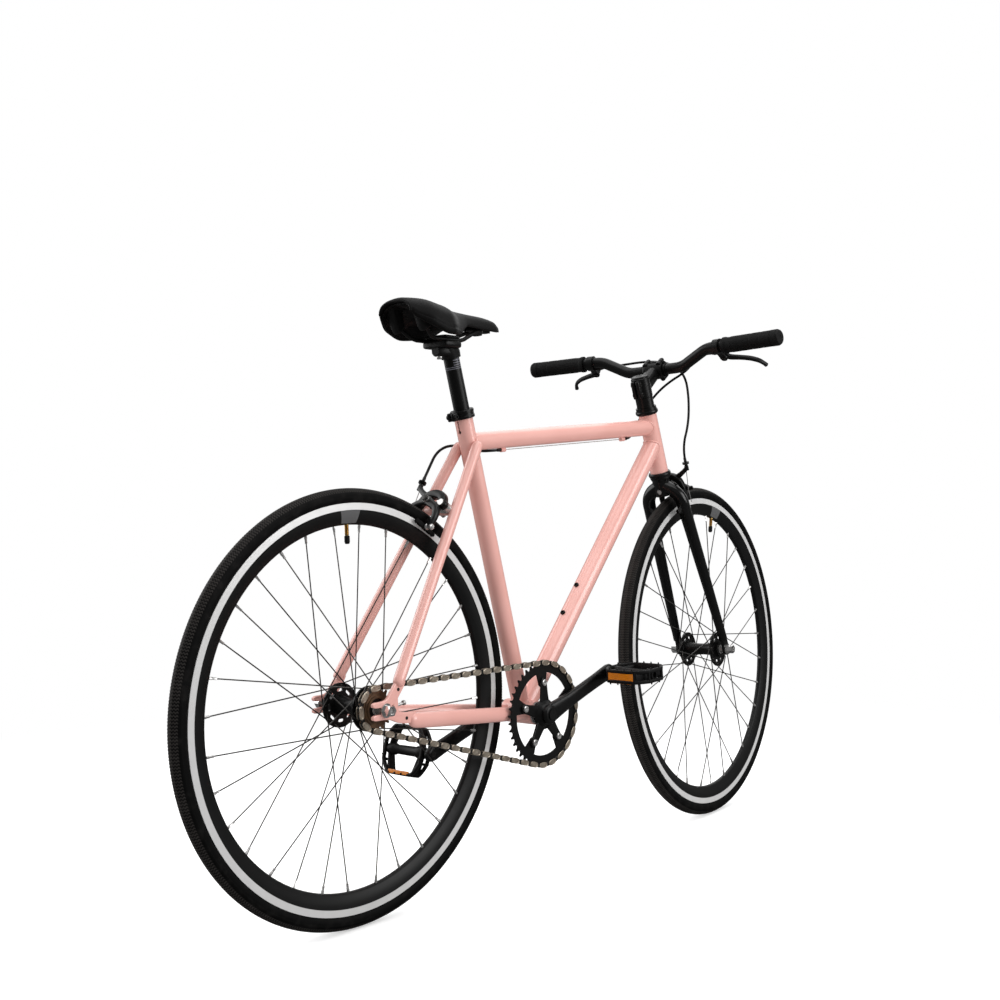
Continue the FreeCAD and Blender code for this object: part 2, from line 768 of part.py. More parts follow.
def crank_arm():
    """A bar that swells at the boss and the pedal end, along X from the crank axis, outwards along Z."""
    stations = ((0.0, crank_root_width, crank_boss_end - crank_thickness / 2),
                (crank_length * 0.5, crank_waist_width,
                 (crank_boss_end + crank_end_middle) / 2 - crank_thickness / 4),
                (crank_length, crank_end_radius * 2 - 2, crank_end_middle))
    sections = []
    for along, width, height in stations:
        place = Placement(Vector(along, 0, height),
                          Rotation(Vector(0, 1, 0), Vector(0, 0, 1), Vector(1, 0, 0), "XYZ"))
        sections.append(ellipse_wire(place, width, crank_thickness))
    bar = Part.makeLoft(sections, True, False)
    boss = ring(crank_boss_radius, 0, ring_face, crank_boss_end)
    end = ring(crank_end_radius, 0, crank_end_middle - crank_thickness / 2, pedal_seat)
    end.translate(Vector(crank_length, 0, 0))
    arm = joined(bar, boss, end)
    arm = arm.cut([ring(spindle_radius + slip_clearance, 0, 0, crank_boss_end),
                   ring(dust_cap_radius, 0, spindle_half, crank_boss_end + crank_thickness)])
    hole = ring(pedal_axle_radius + slip_clearance, 0, 0, pedal_seat + crank_thickness)
    hole.translate(Vector(crank_length, 0, 0))
    return arm.cut(hole)


def spider():
    """Five tapered arms that carry the chainring on its outer side."""
    arms = []
    tip = bolt_circle_radius + spider_tip_width / 2
    for turn in range(spider_arms):
        shape = outline((0, -spider_root_width / 2), (bolt_circle_radius, -spider_tip_width / 2),
                        (tip, 0, bolt_circle_radius, spider_tip_width / 2), (0, spider_root_width / 2))
        hole = circle_wire(bolt_circle_radius, 0, ring_bolt_radius + slip_clearance)
        arm = slab(shape, ring_face, ring_face + spider_thickness, hole)
        arms.append(moved(arm, Placement(Vector(), Rotation(Vector(0, 0, 1), 360.0 * turn / spider_arms))))
    web = arms[0].fuse(arms[1:]).removeSplitter()
    return web.cut(ring(spindle_radius + slip_clearance, 0, 0, crank_boss_end))


def ring_bolt():
    low = chain_line - tooth_thickness / 2
    high = ring_face + spider_thickness
    bolt = joined(ring(ring_bolt_radius, 0, low, high),
                  ring(ring_bolt_head_radius, 0, low - ring_bolt_head_height, low),
                  ring(ring_bolt_head_radius, 0, high, high + ring_bolt_head_height))
    bolt.translate(Vector(bolt_circle_radius, 0, 0))
    return bolt


def freewheel(gap_turn):
    """Toothed plate on a turned body that runs on the hub's thread."""
    bore = circle_wire(0, 0, thread_radius + running_clearance)
    plate = slab(sprocket_wire(cog_teeth, gap_turn), chain_line - tooth_thickness / 2,
                 chain_line + tooth_thickness / 2, bore)
    inner = chain_line - cog_body_width / 2
    body = ring(cog_body_radius, thread_radius + running_clearance, inner, chain_line + cog_lip_height)
    lip = ring(cog_lip_radius, thread_radius + running_clearance, inner, chain_line + 2 * cog_lip_height)
    return joined(plate, body, lip)


pins, ring_gap_turn, cog_gap_turn = chain_pins()
right_crank_frame = crank_frame.multiply(Placement(Vector(), Rotation(Vector(0, 0, 1), crank_angle)))
left_crank_frame = right_crank_frame.multiply(Placement(Vector(), Rotation(Vector(0, 1, 0), 180)))
cog_frame = axes_at(rear_axle, Vector(1, 0, 0), Vector(0, 0, 1), Vector(0, -1, 0))
chain_plane = Placement(Vector(0, 0, chain_line), Rotation())
nodes["chain"] = chain(pins)
nodes["chainring"] = [moved(chainring(ring_gap_turn), crank_frame.multiply(chain_plane))]
nodes["crank_arms"] = [moved(joined(crank_arm(), spider()), right_crank_frame),
                       moved(crank_arm(), left_crank_frame)]
nodes["chainring_bolts"] = [moved(s, right_crank_frame) for s in spun(ring_bolt(), spider_arms,
                                                                      Vector(0, 0, 1))]
nodes["freewheel_cog"] = [moved(freewheel(cog_gap_turn), cog_frame)]
spindle = ring(spindle_radius, 0, -spindle_half, spindle_half)
cap = ring(dust_cap_radius - slip_clearance, 0, spindle_half, crank_boss_end + dust_cap_height)
nodes["crank_spindle"] = [moved(spindle, right_crank_frame), moved(cap, right_crank_frame),
                          moved(cap, left_crank_frame)]


# Pedals
def pedal_axle():
    collar = pedal_seat + pedal_axle_collar_width
    end = collar + pedal_gap + pedal_width - pedal_rail
    axle = joined(ring(pedal_axle_radius, 0, crank_end_middle - crank_thickness / 2, end),
                  ring(pedal_axle_collar_radius, 0, pedal_seat, collar))
    axle.translate(Vector(crank_length, 0, 0))
    return axle


def pedal():
    """A moulded cage round a barrel: X to the front edge, Y up, Z outwards from the crank."""
    start = pedal_seat + pedal_axle_collar_width + pedal_gap
    end = start + pedal_width
    skirt = (pedal_width - pedal_end_width) / 2
    half, height = pedal_length / 2, pedal_height / 2
    corner = half * 0.45

    def cage(inset):
        grow = inset * 0.6
        return outline((half - inset, start + skirt + grow), (half - inset, end - skirt - grow),
                       (corner - grow, end - inset), (-corner + grow, end - inset),
                       (-half + inset, end - skirt - grow), (-half + inset, start + skirt + grow),
                       (-corner + grow, start + inset), (corner - grow, start + inset))

    flat = Placement(Vector(), Rotation(Vector(1, 0, 0), Vector(0, 0, 1), Vector(0, -1, 0), "XYZ"))
    body = moved(slab(cage(0.0), -height, height, cage(pedal_rail)), flat)
    barrel = ring(pedal_barrel_radius, 0, start, end)
    cross = Part.makeBox(pedal_length - 2, pedal_height * 0.5, pedal_rail * 0.8,
                         Vector(1 - half, -pedal_height * 0.25, (start + end - pedal_rail * 0.8) / 2))
    whole = joined(body, barrel, cross)
    whole = whole.cut(ring(pedal_axle_radius + running_clearance, 0, start - 1,
                           end - pedal_rail + running_clearance))
    lenses = []
    middle = (start + end) / 2
    for side in (1, -1):
        outer = side * half
        corner_x = min(outer, outer - side * reflector_depth)
        lens = Part.makeBox(reflector_depth, reflector_height, reflector_width,
                            Vector(corner_x, -reflector_height / 2, middle - reflector_width / 2))
        whole = whole.cut(lens)
        lenses.append(lens)
    return [whole] + lenses


def pedal_place(crank_place, tilt, hand):
    """Stand the pedal on its axle with its own tilt to the ground, whatever the crank's angle."""
    spot = crank_place.multVec(Vector(crank_length, 0, 0))
    outwards = Vector(0, -hand, 0)
    ahead = Vector(math.cos(math.radians(tilt)), 0, math.sin(math.radians(tilt)))
    return axes_at(spot, ahead, outwards.cross(ahead), outwards)


nodes["pedal_axles"] = [moved(pedal_axle(), right_crank_frame), moved(pedal_axle(), left_crank_frame)]
for name, crank_place, tilt, hand in (("right", right_crank_frame, pedal_right_tilt, 1),
                                      ("left", left_crank_frame, pedal_left_tilt, -1)):
    place = pedal_place(crank_place, tilt, hand)
    pedal_solids = [moved(solid, place) for solid in pedal()]
    nodes["pedal_" + name] = pedal_solids[:1]
    nodes["pedal_reflectors_" + name] = pedal_solids[1:]


# Frame
bridge_height = math.sqrt(pad_radius ** 2 - (bridge_radius + brake_bracket_thickness) ** 2) + brake_reach
dropout_inner = rear_dropout_gap / 2
dropout_outer = dropout_inner + dropout_thickness
stay_plane = dropout_inner + dropout_thickness / 2


def dropout_plate(side):
    """A rear-facing track end: slot, two prongs, a tab up to the seatstay and one to the chainstay."""
    slot = rear_axle_radius + slip_clearance
    prong = prong_height
    tip = -axle_slot_tip
    mouth = tip + prong / 2
    top = slot + prong
    floor = axle_slot_front
    shape = outline(
        (mouth, top), (tip, slot + prong / 2, mouth, slot), (floor, slot), (floor + slot, 0, floor, -slot),
        (mouth, -slot), (tip, -slot - prong / 2, mouth, -top), (-4, -top),
        (24, -23, 52, -26), (64, -25, 67, -14), (66, -4, 56, -3), (42, -1, 31, 8), (34, 20, 48, 31),
        (47, 44, 33, 52), (26, 50, 22, 42), (14, 22, -2, top))
    upper = circle_wire(rack_eyelet_ahead, rack_eyelet_rise, eyelet_radius)
    lower = circle_wire(guard_eyelet_ahead, -guard_eyelet_drop, eyelet_radius)
    edges = (dropout_inner, dropout_outer) if side > 0 else (-dropout_outer, -dropout_inner)
    plate = side_slab(shape, edges[0], edges[1], upper, lower)
    plate.translate(rear_axle)
    return plate


def oval_taper(start, end, start_half, end_half):
    """A tapered bar whose section is an upright oval."""
    along = (end - start).normalize()
    across = Vector(-along.y, along.x, 0).normalize()
    stretch = FreeCAD.Matrix()
    stretch.scale(1, chainstay_oval, 1)
    bar = cone(Vector(), Vector(0, 0, (end - start).Length), start_half, end_half).transformGeometry(stretch)
    return moved(bar, axes_at(start, across, along.cross(across), along))


head_core = rod(head_axis_low, head_axis_high, head_tube_radius)
shell_half = Vector(0, bb_shell_width / 2, 0)
shell_core = rod(crank_centre - shell_half, crank_centre + shell_half, bb_shell_radius)
seat_core = rod(crank_centre, seat_tube_top, seat_tube_radius)
top_core = rod(top_tube_rear, top_tube_front, top_tube_radius)

nodes["head_tube"] = [rod(head_axis_low, head_axis_high, head_tube_radius, steerer_radius + tube_wall)]
nodes["bottom_bracket_shell"] = [rod(crank_centre - shell_half, crank_centre + shell_half, bb_shell_radius,
                                     bb_thread_radius + slip_clearance)]

slot_low = seat_tube_top - seat_up * seat_slot_length
seat_slot = joined(rod(slot_low, slot_low + seat_back * seat_tube_radius * 2, seat_slot_width),
                   moved(Part.makeBox(seat_tube_radius * 2, seat_slot_width, seat_slot_length * 2,
                                      Vector(0, -seat_slot_width / 2, 0)),
                         axes_at(slot_low, seat_back, left, seat_up)))
seat_tube = rod(crank_centre, seat_tube_top, seat_tube_radius, seatpost_radius + slip_clearance)
nodes["seat_tube"] = [seat_tube.cut([shell_core, seat_slot])]


def cable_stop(distance):
    """A small split barrel brazed under the top tube."""
    middle = top_tube_rear + top_tube_axis * distance + top_tube_down * (top_tube_radius + stop_radius * 0.7)
    reach = top_tube_axis * (stop_length / 2)
    return rod(middle - reach, middle + reach, stop_radius), middle


rear_stop, rear_stop_middle = cable_stop(rear_stop_from_seat_tube)
front_stop, front_stop_middle = cable_stop(front_stop_from_seat_tube)
stop_reach = top_tube_axis * (stop_length / 2)
stop_step = top_tube_axis * (stop_length * 0.2)
stop_bores = [rod(rear_stop_middle - stop_reach, rear_stop_middle - stop_step,
                  housing_radius + slip_clearance),
              rod(front_stop_middle + stop_step, front_stop_middle + stop_reach,
                  housing_radius + slip_clearance),
              rod(rear_stop_middle - stop_reach, front_stop_middle + stop_reach,
                  wire_radius + slip_clearance)]
top_tube = top_core.fuse([rear_stop, front_stop]).removeSplitter()
top_bore = rod(top_tube_rear, top_tube_front, top_tube_radius - tube_wall)
nodes["top_tube"] = [top_tube.cut([top_bore, head_core, seat_core] + stop_bores)]

down_core = rod(crank_centre, down_tube_front, down_tube_radius)
down_tube = rod(crank_centre, down_tube_front, down_tube_radius, down_tube_radius - tube_wall)
nodes["down_tube"] = [down_tube.cut([head_core, shell_core, seat_core, top_core])]

plates = {side: dropout_plate(side) for side in (1, -1)}
nodes["rear_dropouts"] = [plates[1], plates[-1]]
seatstay_foot = rear_axle + Vector(seatstay_foot_ahead, 0, seatstay_foot_rise)
chainstay_foot = rear_axle + Vector(chainstay_foot_ahead, 0, -chainstay_foot_drop)
seatstay_head = seat_tube_top - seat_up * seatstay_below_top + seat_back * seatstay_radius * 0.5
chainstay_head = crank_centre
chainstays = []
seatstays = []
stay_cores = []
for side in (1, -1):
    foot = chainstay_foot + Vector(0, side * stay_plane, 0)
    head = chainstay_head + Vector(0, side * chainstay_front_offset, 0)
    core = oval_taper(foot, head, chainstay_rear_width / 2, chainstay_front_width / 2)
    bore = oval_taper(foot, head, chainstay_rear_width / 2 - tube_wall, chainstay_front_width / 2 - tube_wall)
    chainstays.append(core.cut([bore, shell_core, seat_core, down_core, plates[side]]))
    foot = seatstay_foot + Vector(0, side * stay_plane, 0)
    head = seatstay_head + Vector(0, side * (seat_tube_radius + seatstay_radius - seatstay_top_inset), 0)
    core = joined(rod(foot, head, seatstay_radius), Part.makeSphere(seatstay_radius, head))
    bore = rod(foot, head, seatstay_radius - tube_wall)
    stay_cores.append((foot, head))
    seatstays.append(core.cut([bore, seat_core, top_core, plates[side]]))
nodes["chainstays"] = [max(stay.Solids, key=lambda piece: piece.Volume) for stay in chainstays]


def stay_spot(distance):
    """The point on the stays' middle plane at a distance from the rear axle."""
    low, high = 0.0, 1.0
    foot, head = stay_cores[0]
    while high - low > 1e-9:
        middle = (low + high) / 2
        spot = foot + (head - foot) * middle
        if Vector(spot.x - rear_axle.x, 0, spot.z - rear_axle.z).Length < distance:
            low = middle
        else:
            high = middle
    return foot + (head - foot) * low


bridge_end = stay_spot(bridge_height)
bridge_middle = Vector(bridge_end.x, 0, bridge_end.z)
bridge_up = (bridge_middle - rear_axle).normalize()
bridge_back = Vector(-bridge_up.z, 0, bridge_up.x)
bridge = rod(Vector(bridge_end.x, -bridge_end.y, bridge_end.z), bridge_end, bridge_radius)
bridge = bridge.cut([rod(foot, head, seatstay_radius) for foot, head in stay_cores])
bridge = bridge.cut(rod(bridge_middle - bridge_back * bridge_radius * 2,
                        bridge_middle + bridge_back * bridge_radius * 2,
                        brake_bolt_radius + slip_clearance))
nodes["seatstays"] = [max(stay.Solids,
                          key=lambda piece: piece.Volume) for stay in seatstays] + bridge.Solids[:1]


def frame_bolts():
    """Bottle bolts on the down tube and the screws that set the rear axle's place in its slots."""
    bolts = []
    for index in range(2):
        spot = crank_centre + down_tube_axis * (bottle_bolt_from_crank + index * bottle_bolt_spacing)
        base = spot + down_tube_above * (down_tube_radius * 0.9)
        head = rod(base, spot + down_tube_above * (down_tube_radius + bottle_bolt_height), bottle_bolt_radius)
        bolts.append(head.cut(down_core))
    slot_front = axle_slot_front + rear_axle_radius + slip_clearance
    for side in (1, -1):
        start = rear_axle + Vector(slot_front + dropout_thickness, side * stay_plane, 4.0)
        end = start + Vector(stop_screw_length, 0, 3.0)
        shank = rod(start, end, stop_screw_radius)
        head = rod(end, end + (end - start).normalize() * stop_screw_head_radius, stop_screw_head_radius)
        bolts.append(joined(shank, head).cut(plates[side]))
    return bolts


nodes["frame_bolts"] = frame_bolts()
cup_bore = steerer_radius + running_clearance
cup = turned(outline((cup_bore, 0), (cup_radius - 1.5, 0), (cup_radius, 2, cup_radius - 0.5, cup_height),
                     (cup_bore, cup_height)))
lower_cup = moved(cup, Placement(Vector(0, 0, head_low), Rotation(Vector(1, 0, 0), -90)))
upper_cup = moved(cup, Placement(Vector(0, 0, head_high), Rotation(Vector(1, 0, 0), 90)))
nodes["headset_cups"] = [moved(lower_cup, head_frame), moved(upper_cup, head_frame)]
bb_end = bb_shell_width / 2
spindle_bore = spindle_radius + running_clearance
cartridge = joined(cross_ring(bb_thread_radius, spindle_bore, -bb_end, bb_end),
                   cross_ring(bb_flange_radius, spindle_bore, bb_end, bb_end + bb_flange_width),
                   cross_ring(bb_flange_radius, spindle_bore, -bb_end - bb_flange_width, -bb_end))
cartridge.translate(crank_centre)
nodes["bottom_bracket"] = [cartridge]


# Seatpost, collar and saddle
def seat_collar():
    """A clamp ring with a lip over the tube's end, two ears behind and the bolt across them."""
    seat_bore = seat_tube_radius + slip_clearance
    outer = seat_tube_radius + collar_wall
    body = joined(ring(outer, seat_bore, -collar_height, 0),
                  ring(outer, seatpost_radius + slip_clearance * 2, 0, collar_lip))
    ear_back = outer + collar_ear
    ears = Part.makeBox(collar_ear + collar_wall, 16, collar_height,
                        Vector(seat_bore + 0.5, -8, -collar_height))
    gap = Part.makeBox(ear_back, seat_slot_width, collar_height + collar_lip,
                       Vector(0, -seat_slot_width / 2, -collar_height))
    hole = rod(Vector(outer + collar_ear * 0.45, -20, -collar_height / 2),
               Vector(outer + collar_ear * 0.45, 20, -collar_height / 2), collar_bolt_radius + slip_clearance)
    bolt_x, bolt_z = outer + collar_ear * 0.45, -collar_height / 2
    bolt = joined(rod(Vector(bolt_x, -8, bolt_z), Vector(bolt_x, 8, bolt_z), collar_bolt_radius),
                  rod(Vector(bolt_x, -12, bolt_z), Vector(bolt_x, -8, bolt_z), collar_bolt_radius * 1.8),
                  rod(Vector(bolt_x, 8, bolt_z), Vector(bolt_x, 10, bolt_z), collar_bolt_radius * 1.8))
    return [joined(body, ears).cut([gap, hole]), bolt]


collar_frame = axes_at(seat_tube_top, seat_back, left, seat_up)
nodes["seat_collar"] = [moved(solid, collar_frame) for solid in seat_collar()]

post_top = seat_tube_top + seat_up * (collar_lip + seatpost_above_tube)
post_low = seat_tube_top - seat_up * seatpost_insertion
nodes["seatpost"] = [rod(post_low, post_top, seatpost_radius, seatpost_radius - 2 * tube_wall)]

rail_middle = post_top + Vector(-rail_set_back, 0, rail_over_post)
saddle_top = rail_middle.z + saddle_height_over_rails
saddle_back = rail_middle.x + saddle_set_ahead - saddle_length / 2
saddle_shape = ((0.00, 0.62, 6, 40), (0.05, 0.88, 1, 52), (0.16, 1.00, 0, 57), (0.30, 0.88, 5, 52),
                (0.46, 0.56, 13, 44), (0.62, 0.38, 18, 36), (0.82, 0.29, 20, 28), (0.95, 0.24, 24, 22),
                (1.00, 0.13, 31, 14))
saddle_hollow = 0.42


def saddle_section(half, top, depth):
    """A crowned top on drawn-in sides over an arched underside."""
    low = top - depth
    shoulder = low + depth * 0.75
    return outline((-half * 0.86, low), (0, low + depth * saddle_hollow, half * 0.86, low),
                   (half, low + depth * 0.4, half * 0.8, shoulder), (0, top, -half * 0.8, shoulder),
                   (-half, low + depth * 0.4, -half * 0.86, low))


def base_section(half, top, depth):
    """A thin shell that follows the arched underside just below it."""
    edge = half * 0.84
    high = top - depth - body_gap
    low = high - saddle_base_thickness
    rise = depth * saddle_hollow
    return outline((-edge, low), (0, low + rise, edge, low), (edge, high), (0, high + rise, -edge, high))


def saddle_loft(section):
    """Sections from tail to nose: share of the length, share of the width, drop of the top, depth."""
    wires = []
    for along, wide, drop, depth in saddle_shape:
        place = Placement(Vector(saddle_back + saddle_length * along, 0, 0),
                          Rotation(Vector(0, 1, 0), Vector(0, 0, 1), Vector(1, 0, 0), "XYZ"))
        wires.append(moved(section(saddle_width / 2 * wide, saddle_top - drop, depth), place))
    return Part.makeLoft(wires, True, False)


nodes["saddle_cover"] = [saddle_loft(saddle_section)]
saddle_base = saddle_loft(base_section)


def rail(side):
    """One round rail: up to the tail, straight through the clamp, up and inwards to the nose."""
    middle = Vector(rail_middle.x, side * rail_spacing / 2, rail_middle.z)
    half = Vector(rail_straight / 2, 0, 0)
    tail = Vector(saddle_back + saddle_length * 0.16, side * rail_spacing * 0.7, saddle_top - rail_tail_drop)
    nose = Vector(saddle_back + saddle_length * 0.86, side * rail_spacing * 0.24, saddle_top - rail_nose_drop)
    return pipe(bent_path([tail, middle - half, middle + half, nose], rail_radius * 5), rail_radius)


rails = [rail(1), rail(-1)]
nodes["saddle_rails"] = rails
nodes["saddle_base"] = [saddle_base.cut(rails)]


def saddle_clamp():
    """Lower cradle on the post, upper plate over the rails and the bolt that draws them together."""
    half = rail_spacing / 2 + rail_radius * 2
    low = post_top.z
    cradle = Part.makeBox(cradle_length, half * 2, cradle_thickness,
                          Vector(rail_middle.x - cradle_length / 2, -half, rail_middle.z - cradle_thickness))
    neck = cone(Vector(post_top.x, 0, low) - seat_up * 14,
                Vector(rail_middle.x, 0, rail_middle.z - cradle_thickness / 2),
                seatpost_radius + 3, half * 0.75)
    horn = slab(outline((-34, -11), (10, -11), (10, 11), (-34, 11)), rail_middle.z - cradle_thickness - 16,
                rail_middle.z - cradle_thickness / 2)
    horn.translate(Vector(rail_middle.x, 0, 0))
    lower = joined(cradle, neck, horn).cut(rod(post_low, post_top, seatpost_radius + slip_clearance))
    over = rail_spacing / 2 + rail_radius * 0.9
    plate = Part.makeBox(cradle_length * 0.8, over * 2, rail_radius + 2,
                         Vector(rail_middle.x - cradle_length * 0.4, -over, rail_middle.z + seat_gap))
    bolt_x = rail_middle.x - cradle_length * 0.28
    bolt_low = rail_middle.z - cradle_thickness - 22
    hole = rod(Vector(bolt_x, 0, bolt_low), Vector(bolt_x, 0, rail_middle.z + 20), 3 + slip_clearance)
    bolt = joined(rod(Vector(bolt_x, 0, bolt_low), Vector(bolt_x, 0, rail_middle.z + rail_radius + 4), 3),
                  rod(Vector(bolt_x, 0, bolt_low), Vector(bolt_x, 0, bolt_low + 5), 5))
    return [lower.cut(rails + [hole]), plate.cut(rails + [hole]), bolt]


nodes["saddle_clamp"] = saddle_clamp()


# Fork, headset, stem and handlebar, in the steering frame: X ahead, Y left, Z up the steering axis
def fork():
    stem_top = head_high + cup_height + cover_height + spacer_height + stem_clamp_height
    steerer = ring(steerer_radius, steerer_radius - steerer_wall, fork_length - crown_height, stem_top - 2)
    crown = joined(ring(crown_radius, 0, fork_length - crown_height, fork_length - 6),
                   cone(Vector(0, 0, fork_length - 6), Vector(0, 0, fork_length), crown_radius, cover_radius))
    legs = []
    for side in (1, -1):
        tip = Vector(fork_rake * (1 - blade_tip_height / blade_shoulder),
                     side * (front_dropout_gap / 2 + dropout_thickness / 2), blade_tip_height)
        shoulder = Vector(0, side * blade_spread, blade_shoulder)
        up = (shoulder - tip).normalize()
        inward = Vector(0, -side, 0)
        inward = (inward - up * inward.dot(up)).normalize()

        def bend(degrees):
            angle = math.radians(degrees)
            return (shoulder + inward * blade_bend_radius * (1 - math.cos(angle))
                    + up * blade_bend_radius * math.sin(angle))

        arc = Part.Arc(shoulder, bend(blade_bend_angle / 2), bend(blade_bend_angle)).toShape()
        angle = math.radians(blade_bend_angle)
        ahead = inward * math.sin(angle) + up * math.cos(angle)
        run = Part.makeLine(bend(blade_bend_angle), bend(blade_bend_angle) + ahead * blade_radius)
        elbow = pipe(Part.Wire([arc, run]), blade_radius)
        blade = cone(tip, shoulder, blade_tip_radius, blade_radius)
        inner, outer = front_dropout_gap / 2, front_dropout_gap / 2 + dropout_thickness
        edges = (inner, outer) if side > 0 else (-outer, -inner)
        slot = front_axle_radius + slip_clearance
        lobe = slot + 7
        plate = outline((-lobe, 0), (-slot - 2, blade_tip_height + 12), (slot + 2, blade_tip_height + 12),
                        (lobe, 0),
                        (lobe * 0.8, -lobe * 0.6, slot, -lobe * 0.95), (slot, 0), (0, slot, -slot, 0),
                        (-slot, -lobe * 0.95), (-lobe * 0.8, -lobe * 0.6, -lobe, 0))
        foot = side_slab(plate, edges[0], edges[1])
        foot.translate(Vector(fork_rake, 0, 0))
        legs += [elbow, blade, foot]
    whole = joined(crown, *legs)
    whole = whole.cut(ring(steerer_radius - steerer_wall, 0, 0, fork_length + 1))
    whole = joined(whole, steerer.cut(ring(steerer_radius + 1, 0, 0, fork_length - crown_height)))
    bolt_way = rod(Vector(-crown_radius * 2, 0, front_bolt_height),
                   Vector(crown_radius * 2, 0, front_bolt_height),
                   brake_bolt_radius + slip_clearance)
    nut_seat = rod(Vector(-crown_radius * 2, 0, front_bolt_height),
                   Vector(-crown_radius * 0.55, 0, front_bolt_height),
                   brake_bolt_radius * 1.7 + slip_clearance)
    return whole.cut([bolt_way, nut_seat])


stem_low = head_high + cup_height + cover_height + spacer_height
stem_middle = Vector(0, 0, stem_low + stem_clamp_height / 2)
stem_axis = Vector(math.cos(math.radians(stem_rise)), 0, math.sin(math.radians(stem_rise)))
stem_across = Vector(-stem_axis.z, 0, stem_axis.x)
bar_middle = stem_middle + stem_axis * stem_length
bar_up = Vector(math.cos(head_lean), 0, math.sin(head_lean))
bar_back = Vector(-math.sin(head_lean), 0, math.cos(head_lean))
bar_frame = axes_at(bar_middle, stem_axis, left, stem_across)


def bar_point(side, out, back, rise):
    return bar_middle + left * (side * out) + bar_back * back + bar_up * rise


def bar_points(side):
    """Clamp, rise and swept end of one half of the bar."""
    sweep = math.tan(math.radians(bar_sweep_angle))
    end_back = bar_sweep_at_rise + (bar_half_width - bar_rise_end) * sweep
    return [bar_middle, bar_point(side, bar_rise_start, 0, 0),
            bar_point(side, bar_rise_end, bar_sweep_at_rise, bar_rise),
            bar_point(side, bar_half_width, end_back, bar_rise)]


def handlebar():
    halves = [pipe(bent_path(bar_points(side), bar_bend_radius), bar_radius) for side in (1, -1)]
    bulge = rod(bar_middle - left * bar_bulge_half, bar_middle + left * bar_bulge_half, bar_bulge_radius)
    return joined(*halves, bulge)


def stem():
    clamp = ring(stem_clamp_radius, 0, stem_low, stem_low + stem_clamp_height)
    tube = rod(stem_middle, bar_middle, stem_tube_radius)
    ears = Part.makeBox(12, 18, stem_clamp_height * 0.9,
                        Vector(-stem_clamp_radius - 7, -9, stem_low + stem_clamp_height * 0.05))
    back_half = moved(side_slab(outline((-bar_clamp_radius, -bar_clamp_radius), (-10, -bar_clamp_ear),
                                        (-faceplate_gap / 2, -bar_clamp_ear),
                                        (-faceplate_gap / 2, bar_clamp_ear),
                                        (-10, bar_clamp_ear), (-bar_clamp_radius, bar_clamp_radius)),
                                -bar_clamp_width / 2, bar_clamp_width / 2), bar_frame)
    front = moved(Part.makeBox(80, 80, 80, Vector(-faceplate_gap / 2, -40, -40)), bar_frame)
    body = joined(clamp, tube, ears, back_half).cut([
        front, rod(bar_middle - left * 60, bar_middle + left * 60, bar_bulge_radius + slip_clearance),
        ring(steerer_radius + slip_clearance, 0, stem_low - 5, stem_low + stem_clamp_height + 5),
        Part.makeBox(40, 2.0, 80, Vector(-40 - steerer_radius * 0.5, -1.0, stem_low - 10))])
    return body.cut([way for way, bolt in stem_bolts()])


def stem_faceplate():
    reach = bar_bulge_radius + faceplate_depth
    plate = side_slab(outline((faceplate_gap / 2, -bar_clamp_ear), (reach * 0.55, -bar_clamp_ear),
                              (reach, -bar_bulge_radius * 0.6), (reach, bar_bulge_radius * 0.6),
                              (reach * 0.55, bar_clamp_ear), (faceplate_gap / 2, bar_clamp_ear)),
                      -bar_clamp_width / 2, bar_clamp_width / 2)
    window = Part.makeBox(80, bar_clamp_width * 0.45, bar_bulge_radius * 1.1,
                          Vector(0, -bar_clamp_width * 0.225, -bar_bulge_radius * 0.55))
    plate = moved(plate.cut(window), bar_frame)
    plate = plate.cut(rod(bar_middle - left * 60, bar_middle + left * 60, bar_bulge_radius + slip_clearance))
    return plate.cut([way for way, bolt in stem_bolts()])


def stem_bolts():
    """Pairs of clearance way and bolt: four at the bar, two across the steerer clamp's ears."""
    made = []

    def bolt(place, start, end):
        way = ring(stem_bolt_radius + slip_clearance, 0, start, end)
        head_way = ring(stem_bolt_head_radius + slip_clearance, 0, end - stem_bolt_head_height, end + 30)
        body = joined(ring(stem_bolt_radius, 0, start, end - stem_bolt_head_height),
                      ring(stem_bolt_head_radius, 0, end - stem_bolt_head_height, end))
        made.append((moved(way.fuse(head_way), place), moved(body, place)))

    end = (bar_bulge_radius + faceplate_depth) * 0.75
    bar_bolt_height = bar_bulge_radius + body_gap + stem_bolt_radius
    for side in (1, -1):
        for level in (1, -1):
            spot = bar_frame.multVec(Vector(0, side * bar_bolt_spacing / 2, level * bar_bolt_height))
            bolt(axes_at(spot, left, stem_axis.cross(left), stem_axis), -9.0, end)
    for level in (0.25, 0.75):
        spot = Vector(-stem_clamp_radius - 2.5, 0, stem_low + stem_clamp_height * level)
        bolt(axes_at(spot, Vector(1, 0, 0), Vector(0, 0, 1), Vector(0, -1, 0)), -9.0, 11.0)
    return made


